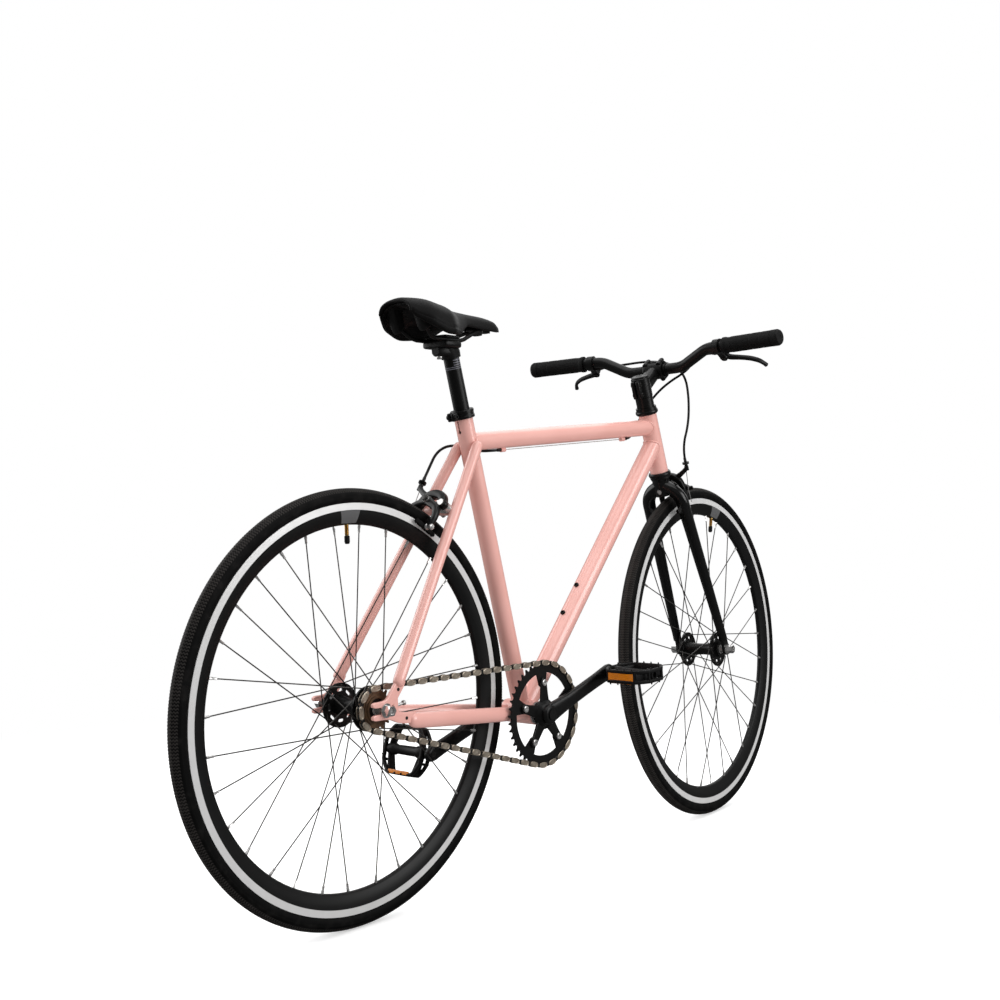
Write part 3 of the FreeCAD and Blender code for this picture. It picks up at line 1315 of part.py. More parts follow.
nodes["fork"] = [moved(fork(), steer_frame)]
race_low, race_high = fork_length, head_low - cup_height
upper_face = head_high + cup_height
races = [ring(cover_radius, steerer_radius + slip_clearance, race_low, race_high - running_clearance),
         ring(cover_radius, steerer_radius + slip_clearance, upper_face + running_clearance,
              upper_face + cover_height)]
for index in range(spacer_count):
    low = upper_face + cover_height + index * spacer_height / spacer_count
    races.append(ring(spacer_radius, steerer_radius + slip_clearance, low,
                      low + spacer_height / spacer_count))
nodes["headset_spacers"] = [moved(solid, steer_frame) for solid in races]
nodes["stem"] = [moved(stem(), steer_frame)]
nodes["stem_faceplate"] = [moved(stem_faceplate(), steer_frame)]
stem_top = stem_low + stem_clamp_height
top_cap = ring(top_cap_radius, 0, stem_top, stem_top + top_cap_height)
nodes["stem_bolts"] = [moved(bolt, steer_frame) for way, bolt in stem_bolts()] + [moved(top_cap, steer_frame)]
nodes["handlebar"] = [moved(handlebar(), steer_frame)]


# Grips, lever brackets and levers
def bar_end_frame(side):
    """Origin on the bar at its end, Z inwards along the swept part, X down and ahead to the lever."""
    points = bar_points(side)
    inwards = (points[2] - points[3]).normalize()
    droop = math.radians(lever_droop)
    reach = bar_back * -math.cos(droop) - bar_up * math.sin(droop)
    reach = (reach - inwards * reach.dot(inwards)).normalize()
    return axes_at(points[3], reach, inwards.cross(reach), inwards)


def grip():
    bore = bar_radius + slip_clearance
    body = turned(outline(
        (bore, 0), (grip_radius - 1, 0), (grip_radius + 0.5, 4, grip_radius, 8),
        (grip_radius, grip_length - grip_flange_width - 4),
        (grip_flange_radius, grip_length - grip_flange_width),
        (grip_flange_radius, grip_length), (bore, grip_length)))
    plug = turned(outline((0, -bar_plug_width), (grip_radius - 4, -bar_plug_width), (grip_radius - 1.5, 0),
                          (0, 0)))
    turn = Placement(Vector(), Rotation(Vector(1, 0, 0), 90))
    return [moved(body, turn), moved(plug, turn)]


lever_middle = grip_length + lever_inboard_of_grip + lever_clamp_width / 2
lever_barrel_reach = lever_pivot_reach - lever_boss_radius - body_gap - barrel_radius


def bracket():
    """Clamp band round the bar, an arm towards the lever with two cheeks, and the cable barrel inboard."""
    outer = bar_radius + lever_clamp_wall
    low, high = lever_middle - lever_clamp_width / 2, lever_middle + lever_clamp_width / 2
    band = ring(outer, 0, low, high)
    half = lever_thickness / 2 + body_gap + bracket_cheek
    arm = Part.makeBox(lever_pivot_reach + 2, half * 2, lever_clamp_width, Vector(0, -half, low))
    nose = rod(Vector(lever_pivot_reach, -half, lever_middle), Vector(lever_pivot_reach, half, lever_middle),
               lever_boss_radius)
    barrel = rod(Vector(lever_barrel_reach, 0, low),
                 Vector(lever_barrel_reach, 0, high + barrel_height),
                 barrel_radius)
    swing = lever_boss_radius + body_gap
    slot_half = lever_thickness / 2 + body_gap
    slot = Part.makeBox(swing + 40, slot_half * 2, lever_clamp_width * 4,
                        Vector(lever_pivot_reach - swing, -slot_half, lever_middle - lever_clamp_width * 2))
    way = rod(Vector(lever_pivot_reach, -half - 9, lever_middle),
              Vector(lever_pivot_reach, half + 9, lever_middle),
              lever_pivot_radius + slip_clearance)
    body = joined(band, arm, nose).cut(slot)
    bore = ring(bar_radius + slip_clearance, 0, low - 40, high + 40)
    pin = rod(Vector(lever_pivot_reach, -half - 1, lever_middle),
              Vector(lever_pivot_reach, half + 1, lever_middle),
              lever_pivot_radius)
    return [joined(body, barrel).cut([bore, way]), pin]


def lever():
    """A short curved blade on its pivot boss, swept outwards under the grip."""
    x, z = lever_pivot_reach, lever_middle
    tip_x, tip_z = lever_tip_reach, lever_middle - lever_length
    mid_x, mid_z = x + (tip_x - x) * 0.52, z - lever_length * 0.5
    half = lever_blade_width / 2
    shape = outline(
        (x - lever_boss_radius, z), (x, z + lever_boss_radius, x + lever_boss_radius, z),
        (mid_x + half, mid_z + half), (tip_x - half, tip_z + half * 2.4), (tip_x + half, tip_z),
        (tip_x, tip_z - half, tip_x - half, tip_z), (mid_x - half, mid_z - half),
        (x - lever_boss_radius * 0.6, z - lever_boss_radius * 0.8))
    blade = side_slab(shape, -lever_thickness / 2, lever_thickness / 2)
    way = rod(Vector(x, -lever_thickness, z), Vector(x, lever_thickness, z),
              lever_pivot_radius + running_clearance)
    return blade.cut(way)


grips = []
brackets = []
for name, side in (("left", 1), ("right", -1)):
    place = steer_frame.multiply(bar_end_frame(side))
    grips += [moved(solid, place) for solid in grip()]
    brackets += [moved(solid, place) for solid in bracket()]
    nodes["brake_lever_" + name] = [moved(lever(), place)]
nodes["handlebar_grips"] = grips
nodes["brake_lever_brackets"] = brackets


# Brakes: X away from the mounting face, Y to one side, Z away from the wheel's axle
c_layer = brake_bracket_thickness + brake_layer_gap
y_layer = c_layer + brake_arm_thickness + brake_layer_gap
pad_inner = rim_width / 2 + pad_gap
pad_outer = pad_inner + pad_thickness


def band(points, low, high, width):
    """A bar of even width along a chain of points, with round ends."""
    pieces = []
    for here, there in zip(points, points[1:]):
        start, end = Vector(0, here[0], here[1]), Vector(0, there[0], there[1])
        along = (end - start).normalize()
        across = Vector(1, 0, 0).cross(along)
        box = Part.makeBox(high - low, width, (end - start).Length, Vector(low, -width / 2, 0))
        pieces.append(moved(box, axes_at(start, Vector(1, 0, 0), across, along)))
        pieces.append(rod(Vector(low, there[0], there[1]), Vector(high, there[0], there[1]), width / 2))
    return pieces


def brake_bracket(bolt_back):
    """Centre bolt through the frame, its sleeve nut, and the plate that holds the side pivot."""
    end = y_layer + brake_arm_thickness + brake_layer_gap
    plate = joined(*band([(0, 0), (side_pivot_offset, -side_pivot_drop)], 0, brake_bracket_thickness,
                         pivot_boss_radius * 2),
                         rod(Vector(0, 0, 0), Vector(brake_bracket_thickness, 0, 0), pivot_boss_radius))
    side_spot = Vector(0, side_pivot_offset, -side_pivot_drop)
    bolt = rod(Vector(-bolt_back, 0, 0), Vector(end + 6, 0, 0), brake_bolt_radius)
    nut = rod(Vector(end, 0, 0), Vector(end + 5, 0, 0), brake_bolt_radius * 2)
    pin = rod(side_spot, side_spot + Vector(c_layer + brake_arm_thickness + brake_layer_gap, 0, 0),
              brake_bolt_radius)
    head = rod(side_spot + Vector(c_layer + brake_arm_thickness + brake_layer_gap, 0, 0),
               side_spot + Vector(c_layer + brake_arm_thickness + 5, 0, 0), brake_bolt_radius * 2)
    return joined(plate, bolt, nut, pin, head)


def sleeve_nut(bolt_back, length):
    return rod(Vector(-bolt_back, 0, 0), Vector(-bolt_back + length, 0, 0), brake_bolt_radius * 1.7,
               brake_bolt_radius + slip_clearance)


def brake_pad(side, middle):
    edges = sorted((side * pad_inner, side * pad_outer))
    return Part.makeBox(pad_length, pad_thickness, pad_height,
                        Vector(middle - pad_length / 2, edges[0], -brake_reach - pad_drop - pad_height / 2))


def pad_boss(side, middle, reach):
    return rod(Vector(middle, side * pad_outer, -brake_reach), Vector(middle, side * reach, -brake_reach),
               brake_arm_width / 2)


def c_arm():
    """The arm that arches from the side pivot over the bolt to the far pad and carries the cable barrel."""
    low, high = c_layer, c_layer + brake_arm_thickness
    leg = pad_outer + brake_arm_width / 2
    arch = [(side_pivot_offset, -side_pivot_drop), (18, 13), (0, 18), (-18, 12), (-leg, -4), (-leg - 2, -24),
            (-leg, -brake_reach)]
    horn = [(-18, 12), (-barrel_side, barrel_rise - barrel_height)]
    middle = (low + high) / 2
    seat = Vector(middle, -barrel_side, barrel_rise - barrel_height)
    barrel = [rod(seat - Vector(0, 0, barrel_radius), seat + Vector(0, 0, barrel_height), barrel_radius),
              rod(seat + Vector(0, 0, barrel_height - 2.5), seat + Vector(0, 0, barrel_height),
                  barrel_flange_radius)]
    boss = rod(Vector(low, side_pivot_offset, -side_pivot_drop),
               Vector(high, side_pivot_offset, -side_pivot_drop),
               pivot_boss_radius)
    arm = joined(*band(arch, low, high, brake_arm_width), *band(horn, low, high, brake_arm_width * 0.7), boss,
                 pad_boss(-1, middle, leg), *barrel)
    ways = [rod(Vector(0, side_pivot_offset, -side_pivot_drop),
                Vector(60, side_pivot_offset, -side_pivot_drop),
                brake_bolt_radius + running_clearance),
            rod(Vector(middle, -barrel_side, barrel_rise), Vector(middle, -anchor_side, -anchor_drop),
                wire_radius + body_gap)]
    return [arm.cut(ways), brake_pad(-1, middle)]


def y_arm():
    """The arm on the centre bolt: near pad below on one side, cable anchor on the other."""
    low, high = y_layer, y_layer + brake_arm_thickness
    leg = pad_outer + brake_arm_width / 2
    middle = (low + high) / 2
    near = [(0, 0), (leg - 3, -14), (leg + 2, -30), (leg, -brake_reach)]
    far = [(0, 0), (-20, -4), (-anchor_side, -anchor_drop)]
    centre = rod(Vector(low, 0, 0), Vector(high, 0, 0), pivot_boss_radius)
    anchor_low = c_layer + brake_arm_thickness / 2 + wire_radius
    anchor = rod(Vector(anchor_low, -anchor_side, -anchor_drop), Vector(high, -anchor_side, -anchor_drop),
                 barrel_radius)
    arm = joined(*band(near, low, high, brake_arm_width), *band(far, low, high, brake_arm_width * 0.8),
                 centre,
                 pad_boss(1, middle, leg), anchor)
    way = rod(Vector(0, 0, 0), Vector(60, 0, 0), brake_bolt_radius + running_clearance)
    return [arm.cut(way), brake_pad(1, middle)]


def caliper(name, place, bolt_back, nut_length):
    nodes[name + "_brake_bracket"] = [moved(brake_bracket(bolt_back), place),
                                      moved(sleeve_nut(bolt_back, nut_length), place)]
    nodes[name + "_brake_c_arm"] = [moved(solid, place) for solid in c_arm()]
    nodes[name + "_brake_y_arm"] = [moved(solid, place) for solid in y_arm()]


front_brake_frame = steer_frame.multiply(Placement(Vector(crown_radius + body_gap, 0, front_bolt_height),
                                                   Rotation()))
rear_brake_frame = axes_at(bridge_middle + bridge_back * (bridge_radius + body_gap), bridge_back,
                           bridge_up.cross(bridge_back), bridge_up)
caliper("front", front_brake_frame, crown_radius * 2 - 1, crown_radius * 0.45)
caliper("rear", rear_brake_frame, bridge_radius * 2 + 5, 5.0 - body_gap)


# Brake cables
def barrel_top(place):
    return place.multVec(Vector(c_layer + brake_arm_thickness / 2, -barrel_side, barrel_rise))


def anchor_spot(place):
    return place.multVec(Vector(c_layer + brake_arm_thickness / 2, -anchor_side, -anchor_drop))


def lever_barrel_end(side):
    place = steer_frame.multiply(bar_end_frame(side))
    end = lever_middle + lever_clamp_width / 2 + barrel_height
    return place.multVec(Vector(lever_barrel_reach, 0, end)), place.Rotation.multVec(Vector(0, 0, 1))


def housing(points):
    path = bent_path(points, largest_arc)
    solid = pipe(path, housing_radius)
    radii = [edge.Curve.Radius for edge in path.Edges if edge.Curve.TypeId == "Part::GeomCircle"]
    share = solid.Volume / (math.pi * housing_radius ** 2 * path.Length)
    print("housing: length %.0f mm, volume over section times length %.3f" % (path.Length, share))
    print("housing: bend radii", ", ".join("%.0f" % radius for radius in radii))
    return solid


exit_left, way_left = lever_barrel_end(1)
exit_right, way_right = lever_barrel_end(-1)
front_top = barrel_top(front_brake_frame)
front_up = front_brake_frame.Rotation.multVec(Vector(0, 0, 1))
front_anchor = anchor_spot(front_brake_frame)
bar_spot = steer_frame.multVec(bar_middle)
front_route = [exit_left, exit_left + way_left * 30, bar_spot + Vector(18, 29, 23),
               bar_spot + Vector(37, -13, 16),
               bar_spot + Vector(42, -43, -10), bar_spot + Vector(36, -55, -55),
               bar_spot + Vector(30, -57, -110),
               front_top + front_up * 30, front_top]
nodes["front_brake_cable"] = [housing(front_route),
                              rod(front_top, front_anchor, wire_radius)]
rear_top = barrel_top(rear_brake_frame)
rear_up = rear_brake_frame.Rotation.multVec(Vector(0, 0, 1))
rear_anchor = anchor_spot(rear_brake_frame)
front_stop_seat = front_stop_middle + stop_step
rear_stop_seat = rear_stop_middle - stop_step
first_route = [exit_right, exit_right + way_right * 40, bar_spot + Vector(33, -59, -1),
               bar_spot + Vector(14, -13, -29), bar_spot + Vector(2, 19, -63),
               bar_spot + Vector(-23, 27, -101),
               bar_spot + Vector(-68, 15, -131), front_stop_seat + top_tube_axis * 20, front_stop_seat]
second_route = [rear_stop_seat, rear_stop_seat - top_tube_axis * 18, rear_stop_middle + Vector(-45, 16, -3),
                rear_stop_middle + Vector(-73, 29, 6), rear_stop_middle + Vector(-102, 36, 7),
                rear_stop_middle + Vector(-124, 42, -6), rear_top + rear_up * 28, rear_top]
nodes["rear_brake_cable"] = [housing(first_route), rod(rear_stop_seat, front_stop_seat, wire_radius),
                             housing(second_route), rod(rear_top, rear_anchor, wire_radius)]


os.makedirs("parts", exist_ok=True)
for name, solids in nodes.items():
    shape = solids[0] if len(solids) == 1 else Part.makeCompound(solids)
    shape.exportStep("parts/" + name + ".step")
    print("%-24s %3d solids, %9.0f mm3" % (name, len(shape.Solids), shape.Volume))
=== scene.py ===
import json
import math
from functools import partialmethod

import bmesh
import bpy
import numpy as np
from mathutils import Matrix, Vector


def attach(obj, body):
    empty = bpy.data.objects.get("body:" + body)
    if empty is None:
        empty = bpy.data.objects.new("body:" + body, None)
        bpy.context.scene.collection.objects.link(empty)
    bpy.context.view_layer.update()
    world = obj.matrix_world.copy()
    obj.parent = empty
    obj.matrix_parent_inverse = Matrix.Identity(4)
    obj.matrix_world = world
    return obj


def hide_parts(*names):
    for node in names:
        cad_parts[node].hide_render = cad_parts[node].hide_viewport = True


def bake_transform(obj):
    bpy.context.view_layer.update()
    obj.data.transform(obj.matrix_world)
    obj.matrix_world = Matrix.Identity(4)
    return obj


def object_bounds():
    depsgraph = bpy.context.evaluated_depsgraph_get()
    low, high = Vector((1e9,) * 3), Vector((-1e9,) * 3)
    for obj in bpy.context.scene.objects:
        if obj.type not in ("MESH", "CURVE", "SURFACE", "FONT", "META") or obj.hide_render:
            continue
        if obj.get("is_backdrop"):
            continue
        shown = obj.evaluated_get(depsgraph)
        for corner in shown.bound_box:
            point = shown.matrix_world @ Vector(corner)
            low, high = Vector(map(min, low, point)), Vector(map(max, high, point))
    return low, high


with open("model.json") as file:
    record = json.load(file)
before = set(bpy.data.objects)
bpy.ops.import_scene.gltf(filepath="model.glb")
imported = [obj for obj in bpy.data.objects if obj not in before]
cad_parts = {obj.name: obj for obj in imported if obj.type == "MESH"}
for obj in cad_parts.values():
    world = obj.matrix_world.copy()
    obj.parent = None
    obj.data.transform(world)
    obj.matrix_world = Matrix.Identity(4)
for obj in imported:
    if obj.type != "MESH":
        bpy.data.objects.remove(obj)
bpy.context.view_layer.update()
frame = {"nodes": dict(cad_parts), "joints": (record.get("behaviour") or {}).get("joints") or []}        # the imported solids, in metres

nodes = frame["nodes"]
joints = {joint["name"]: joint for joint in frame["joints"]}
mm = 0.001        # sizes below are in millimetres, places in the mesh in metres
print("frame loaded:", len(nodes), "nodes")


# Places: an origin in metres and three unit axes, one per row
def unit(vector):
    vector = np.asarray(vector, float)
    return vector / np.linalg.norm(vector, axis=-1, keepdims=True)


def spread(*parts):        # coordinates given as numbers or arrays, brought together as points
    return np.stack(np.broadcast_arrays(*parts), -1)


def jointPoint(name):
    return np.array(joints[name]["pos_m"], float)


def jointAxis(name):
    return unit(joints[name]["axis"])


def axesFrom(second, third):        # right-handed axes with the second kept and the third squared to it
    second = unit(second)
    third = unit(third - second * np.dot(second, third))
    return np.array([np.cross(second, third), second, third])


def put(local, place):        # millimetres in a place to metres in the row frame
    origin, axes = place
    return origin + np.asarray(local, float) * mm @ axes


def along(place, local, axis):        # a place of its own whose second axis lies along a local direction
    axes = place[1]
    second = unit(np.asarray(axis, float) @ axes)
    third = axes[np.argmin(np.abs(axes @ second))]
    return put(local, place), axesFrom(second, third)


def turnedPlace(place, degrees):        # a place turned about its second axis, third towards first
    origin, axes = place
    c, s = math.cos(math.radians(degrees)), math.sin(math.radians(degrees))
    return origin, np.array([axes[0] * c - axes[2] * s, axes[1], axes[2] * c + axes[0] * s])


steerUp = jointAxis("steering")
steerPlace = (jointPoint("steering"), axesFrom(jointAxis("front_wheel_spin"), steerUp))
worldAxes = np.eye(3)
groundPlace = (np.zeros(3), worldAxes)
crankPoint = jointPoint("crank_spin")
crankCentre = (crankPoint, worldAxes)
crankTurn = 20.4        # degrees of the right crank and its spider
seatUp = jointAxis("seat_height")
sideways = np.array([0.0, 1.0, 0.0])
upright = np.array([0.0, 0.0, 1.0])
# lengths and places along the tubes, then their radii
frameSizes = {"seatTube": 545.0, "post": 92.0, "topBelow": 54.0, "headLow": 399.0, "headLength": 121.0,
              "topDrop": 28.0, "downRise": 60.0, "head": 18.0, "seat": 15.9, "shell": 20.5, "top": 15.9,
              "down": 17.5}


# Shapes: points, four-cornered faces and the two parameters of each corner
def gridShape(points, closeRows=False):        # columns always run round, rows only when asked
    rows, cols = points.shape[:2]
    strips = rows if closeRows else rows - 1
    i, j = np.meshgrid(np.arange(strips), np.arange(cols), indexing="ij")
    i, j = i.ravel(), j.ravel()
    a, b = (i + 1) % rows, (j + 1) % cols
    faces = np.stack([i * cols + j, i * cols + b, a * cols + b, a * cols + j], 1)
    corners = np.stack([np.stack(pair, 1) for pair in ((j, i), (j + 1, i), (j + 1, i + 1), (j, i + 1))], 1)
    return points.reshape(-1, 3), faces, corners / [cols, strips]


def gridShapes(points, closeRows=False):        # one grid for each entry of the first axis
    first = gridShape(points[0], closeRows)
    count, size = len(points), points.shape[1] * points.shape[2]
    faces = (first[1][None] + np.arange(count)[:, None, None] * size).reshape(-1, 4)
    return points.reshape(-1, 3), faces, np.tile(first[2], (count, 1, 1))


def merged(shapes):
    starts = np.cumsum([0] + [len(shape[0]) for shape in shapes[:-1]])
    return (np.concatenate([shape[0] for shape in shapes]),
            np.concatenate([shape[1] + start for shape, start in zip(shapes, starts)]),
            np.concatenate([shape[2] for shape in shapes]))


def turnShape(profile, place, segments, closed=False, hexRows=()):
    # a profile of (radius, distance along the second axis) carried round; a hex row's radius is its apothem
    profile = np.asarray(profile, float)
    angle = np.arange(segments) * 2 * np.pi / segments
    radius = np.repeat(profile[:, :1], segments, 1)
    radius[list(hexRows)] *= 1 / np.cos((angle % (np.pi / 3)) - np.pi / 6)
    local = spread(radius * np.sin(angle), profile[:, 1:], radius * np.cos(angle))
    return gridShape(put(local, place), closeRows=closed)


def sweepShapes(paths, radii, sides=12, up=(0, 0, 1), flat=1.0, power=2.0, closed=False):
    # a section carried along each path: a superellipse of that radius, flattened along the sideways axis
    paths = np.asarray(paths, float)
    radii = np.broadcast_to(np.asarray(radii, float), paths.shape[:2])
    up = np.broadcast_to(np.asarray(up, float), paths.shape)
    flat = np.broadcast_to(np.asarray(flat, float), paths.shape[1:2])
    if closed:
        tangent = np.roll(paths, -1, 1) - np.roll(paths, 1, 1)
    else:
        tangent = np.gradient(paths, axis=1)
        paths, up, tangent = (np.concatenate([a[:, :1], a, a[:, -1:]], 1) for a in (paths, up, tangent))
        radii = np.concatenate([0 * radii[:, :1], radii, 0 * radii[:, -1:]], 1)
        flat = np.concatenate([flat[:1], flat, flat[-1:]])
    tangent = unit(tangent)
    side = unit(np.cross(up, tangent))
    over = np.cross(tangent, side)
    angle = np.arange(sides) * 2 * np.pi / sides
    c, s = np.cos(angle), np.sin(angle)
    c, s = (np.sign(w) * np.abs(w) ** (2 / power) for w in (c, s))
    ring = side[:, :, None] * (c * flat[:, None])[..., None] + over[:, :, None] * s[:, None]
    points = paths[:, :, None] + ring * (radii * mm)[..., None, None]
    return gridShapes(points, closeRows=closed)


def sweepShape(path, radius, **how):
    path = np.asarray(path, float)
    return sweepShapes(path[None], np.broadcast_to(np.asarray(radius, float), len(path))[None], **how)


def smooth(keys, count, closed=False):
    # a curve through the key rows, each span a cubic with shared slopes
    keys = np.asarray(keys, float)
    spans = len(keys) if closed else len(keys) - 1
    t = np.linspace(0, spans, count, endpoint=not closed)
    i = np.minimum(t.astype(int), spans - 1)
    t = (t - i)[:, None]
    pick = (lambda k: keys[k % len(keys)]) if closed else (lambda k: keys[np.clip(k, 0, len(keys) - 1)])
    p0, p1, p2, p3 = pick(i - 1), pick(i), pick(i + 1), pick(i + 2)
    return 0.5 * (2 * p1 + (p2 - p0) * t + (2 * p0 - 5 * p1 + 4 * p2 - p3) * t ** 2
                  + (3 * p1 - p0 - 3 * p2 + p3) * t ** 3)


def roundedLoop(corners, share, count):
    # closed curve through points a share of each edge away from its ends
    corners = np.asarray(corners, float)
    step = (np.roll(corners, -1, 0) - corners) * share
    keys = np.stack([corners + step, np.roll(corners, -1, 0) - step], 1).reshape(-1, corners.shape[1])
    return smooth(keys, count, closed=True)


def capHead(place, radius, height, socket):
    # round bolt head with a six-sided socket, standing along the second axis
    rows = [(0, -0.5), (radius, -0.5), (radius, height * 0.8), (radius * 0.88, height),
            (socket * 1.12, height), (socket, height * 0.94), (socket, height * 0.35), (0, height * 0.35)]
    return turnShape(rows, place, 24, hexRows=(5, 6))


def hexHead(place, apothem, height):        # six-sided head with a chamfered top
    rows = [(0, 0), (apothem, 0), (apothem, height * 0.85), (apothem * 0.86, height), (0, height)]
    return turnShape(rows, place, 24, hexRows=(1, 2))


def addObject(name, data):
    made = bpy.data.objects.new(name, data)
    bpy.context.scene.collection.objects.link(made)
    return made


def standAt(item, axes, spot):        # a camera or lamp looks against its third axis
    item.matrix_world = Matrix(np.vstack([np.column_stack([*axes, spot]), [0, 0, 0, 1]]).tolist())


def addPiece(name, shapes, material, body, replaced=(), sharp=38):
    points, faces, corners = merged(shapes)
    mesh = bpy.data.meshes.new(name)
    mesh.from_pydata(points.tolist(), [], faces.tolist())
    mesh.uv_layers.new(name="UVMap").data.foreach_set("uv", corners.astype(np.float32).ravel())
    work = bmesh.new()
    work.from_mesh(mesh)
    bmesh.ops.remove_doubles(work, verts=work.verts, dist=2e-6)
    bmesh.ops.recalc_face_normals(work, faces=work.faces)
    work.to_mesh(mesh)
    work.free()
    mesh.polygons.foreach_set("use_smooth", np.ones(len(mesh.polygons), bool))
    mesh.set_sharp_from_angle(angle=math.radians(sharp))
    mesh.materials.append(material)
    piece = addObject(name, mesh)
    if body:
        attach(piece, body)
    if replaced:
        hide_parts(*replaced)
    return piece


# Shader maths as expressions
class Wire:
    def __init__(self, tree, socket=None):
        self.tree, self.socket = tree, socket

    def node(self, kind, settings=None, inputs=None, out=0):
        made = self.tree.nodes.new(kind)
        for key, value in (settings or {}).items():
            setattr(made, key, value)
        for key, value in (inputs or {}).items():
            if isinstance(value, Wire):
                self.tree.links.new(value.socket, made.inputs[key])
            else:
                made.inputs[key].default_value = value
        if isinstance(out, tuple):
            return [Wire(self.tree, made.outputs[index]) for index in out]
        return Wire(self.tree, made.outputs[out])

    def maths(self, operation, other=0.0, flip=False):
        pair = (other, self) if flip else (self, other)
        return self.node("ShaderNodeMath", {"operation": operation}, dict(enumerate(pair)))

    __add__ = partialmethod(maths, "ADD")
    __sub__ = partialmethod(maths, "SUBTRACT")
    __rsub__ = partialmethod(maths, "SUBTRACT", flip=True)
    __mul__ = partialmethod(maths, "MULTIPLY")
    __gt__ = partialmethod(maths, "GREATER_THAN")
    __lt__ = partialmethod(maths, "LESS_THAN")
    __abs__ = partialmethod(maths, "ABSOLUTE")

    def zigzag(self):        # 0 at whole numbers, a half midway between them
        return self.maths("FRACT").maths("PINGPONG", 0.5)

    def ease(self, low, high):        # 0 below low, 1 above high, smooth between
        return self.node("ShaderNodeMapRange", {"interpolation_type": "SMOOTHSTEP"},
                         {"Value": self, "From Min": low, "From Max": high})

    def noise(self, scale, detail):
        return self.node("ShaderNodeTexNoise", {}, {"Vector": self, "Scale": scale, "Detail": detail})

    def blend(self, first, second):        # first where this is 0, second where it is 1
        return self.node("ShaderNodeMix", {"data_type": "RGBA"}, {"Factor": self, 6: first, 7: second}, 2)

    def parts(self):
        return self.node("ShaderNodeSeparateXYZ", {}, {0: self}, (0, 1, 2))


def emptyTree(owner):        # node tree of a material or the world, to be filled
    owner.use_nodes = True
    owner.node_tree.nodes.clear()
    return owner.node_tree


socketNames = {"colour": "Base Color", "rough": "Roughness", "metal": "Metallic", "coat": "Coat Weight",
               "coatRough": "Coat Roughness", "specular": "Specular IOR Level"}


def finish(name, **fixed):        # a Principled surface; what is the same all over is set on its sockets
    material = bpy.data.materials.new(name)
    tree = emptyTree(material)
    shader = tree.nodes.new("ShaderNodeBsdfPrincipled")
    output = tree.nodes.new("ShaderNodeOutputMaterial")
    tree.links.new(shader.outputs[0], output.inputs[0])
    for key, value in fixed.items():
        shader.inputs[socketNames[key]].default_value = rgb(*value) if key == "colour" else value

    def feed(socket, wire):
        tree.links.new(wire.socket, shader.inputs[socket])

    uv, where = Wire(tree).node("ShaderNodeTexCoord", out=(2, 3))
    return material, feed, uv, where


def bump(feed, height, strength, distance):
    inputs = {"Height": height, "Strength": strength, "Distance": distance * mm}
    feed("Normal", height.node("ShaderNodeBump", {}, inputs))


def rgb(*levels):        # one level for a grey, three for a colour
    return (*(levels * 3)[:3], 1.0)


def inPlace(where, place):        # coordinates of a place, in metres
    origin, axes = place
    turn = Matrix(axes.T.tolist()).to_euler()
    return where.node("ShaderNodeMapping", {"vector_type": "TEXTURE"},
                      {"Vector": where, "Location": tuple(origin), "Rotation": tuple(turn)})


paint = {"pink": (0.87, 0.455, 0.4), "shade": (0.83, 0.415, 0.36), "rough": 0.42, "coat": 0.9,
         "coatRough": 0.15}


def pinkPaint(name="pinkPaint", ripple=0.0):
    material, feed, uv, where = finish(name, rough=paint["rough"], coat=paint["coat"],
                                       coatRough=paint["coatRough"])
    drift = where.noise(9.0, 2.0).ease(0.35, 0.7)
    feed("Base Color", drift.blend(rgb(*paint["pink"]), rgb(*paint["shade"])))
    feed("Roughness", drift * 0.1 + (paint["rough"] - 0.05))
    if ripple:
        run = uv.parts()[1]
        bump(feed, (run * ripple).zigzag() * 3.0, 0.05, 0.25)
    return material


def blackFinish(name, tone, rough, specular, grain, coat=0.0):
    # black coating: level of the black, its roughness and how coarse its grain is
    material, feed, _, where = finish(name, specular=specular, coat=coat, coatRough=0.08)
    patch = where.noise(28.0, 2.0)
    feed("Base Color", patch.blend(rgb(tone, tone, tone * 1.02), rgb(tone * 1.6, tone * 1.55, tone * 1.55)))
    fine = where.noise(grain, 3.0)
    feed("Roughness", fine * 0.16 + (rough - 0.08) + patch * 0.06)
    bump(feed, fine, 0.18, 0.12)
    return material


def metalFinish(name, light, dark, rough, grain, metal=1.0):
    # bare metal: two tones in patches and fine scratches
    material, feed, _, where = finish(name, metal=metal)
    patch = where.noise(120.0, 4.0).ease(0.3, 0.75)
    feed("Base Color", patch.blend(rgb(*light), rgb(*dark)))
    fine = where.noise(grain, 4.0)
    feed("Roughness", fine * 0.22 + rough)
    bump(feed, fine, 0.12, 0.08)
    return material


wheelSizes = {"tyreCentre": 325.0, "section": 14.0, "wall": 2.6, "rimEdge": 316.0, "seat": 316.2,
              "rimInner": 282.0, "bedRadius": 309.2, "beadOut": 9.35, "beadIn": 6.15, "trackLow": 305.0,
              "arcSteps": 60, "treadPitch": 4.8, "treadShare": 0.62, "rise": 0.45, "treadDepth": 0.8,
              "blocksFrom": 0.055, "blocksTo": 0.22, "zigs": 26, "zigShare": 0.55}
treadRound = 2 * math.pi * (wheelSizes["tyreCentre"] + wheelSizes["section"])
treadCount = round(treadRound / wheelSizes["treadPitch"])


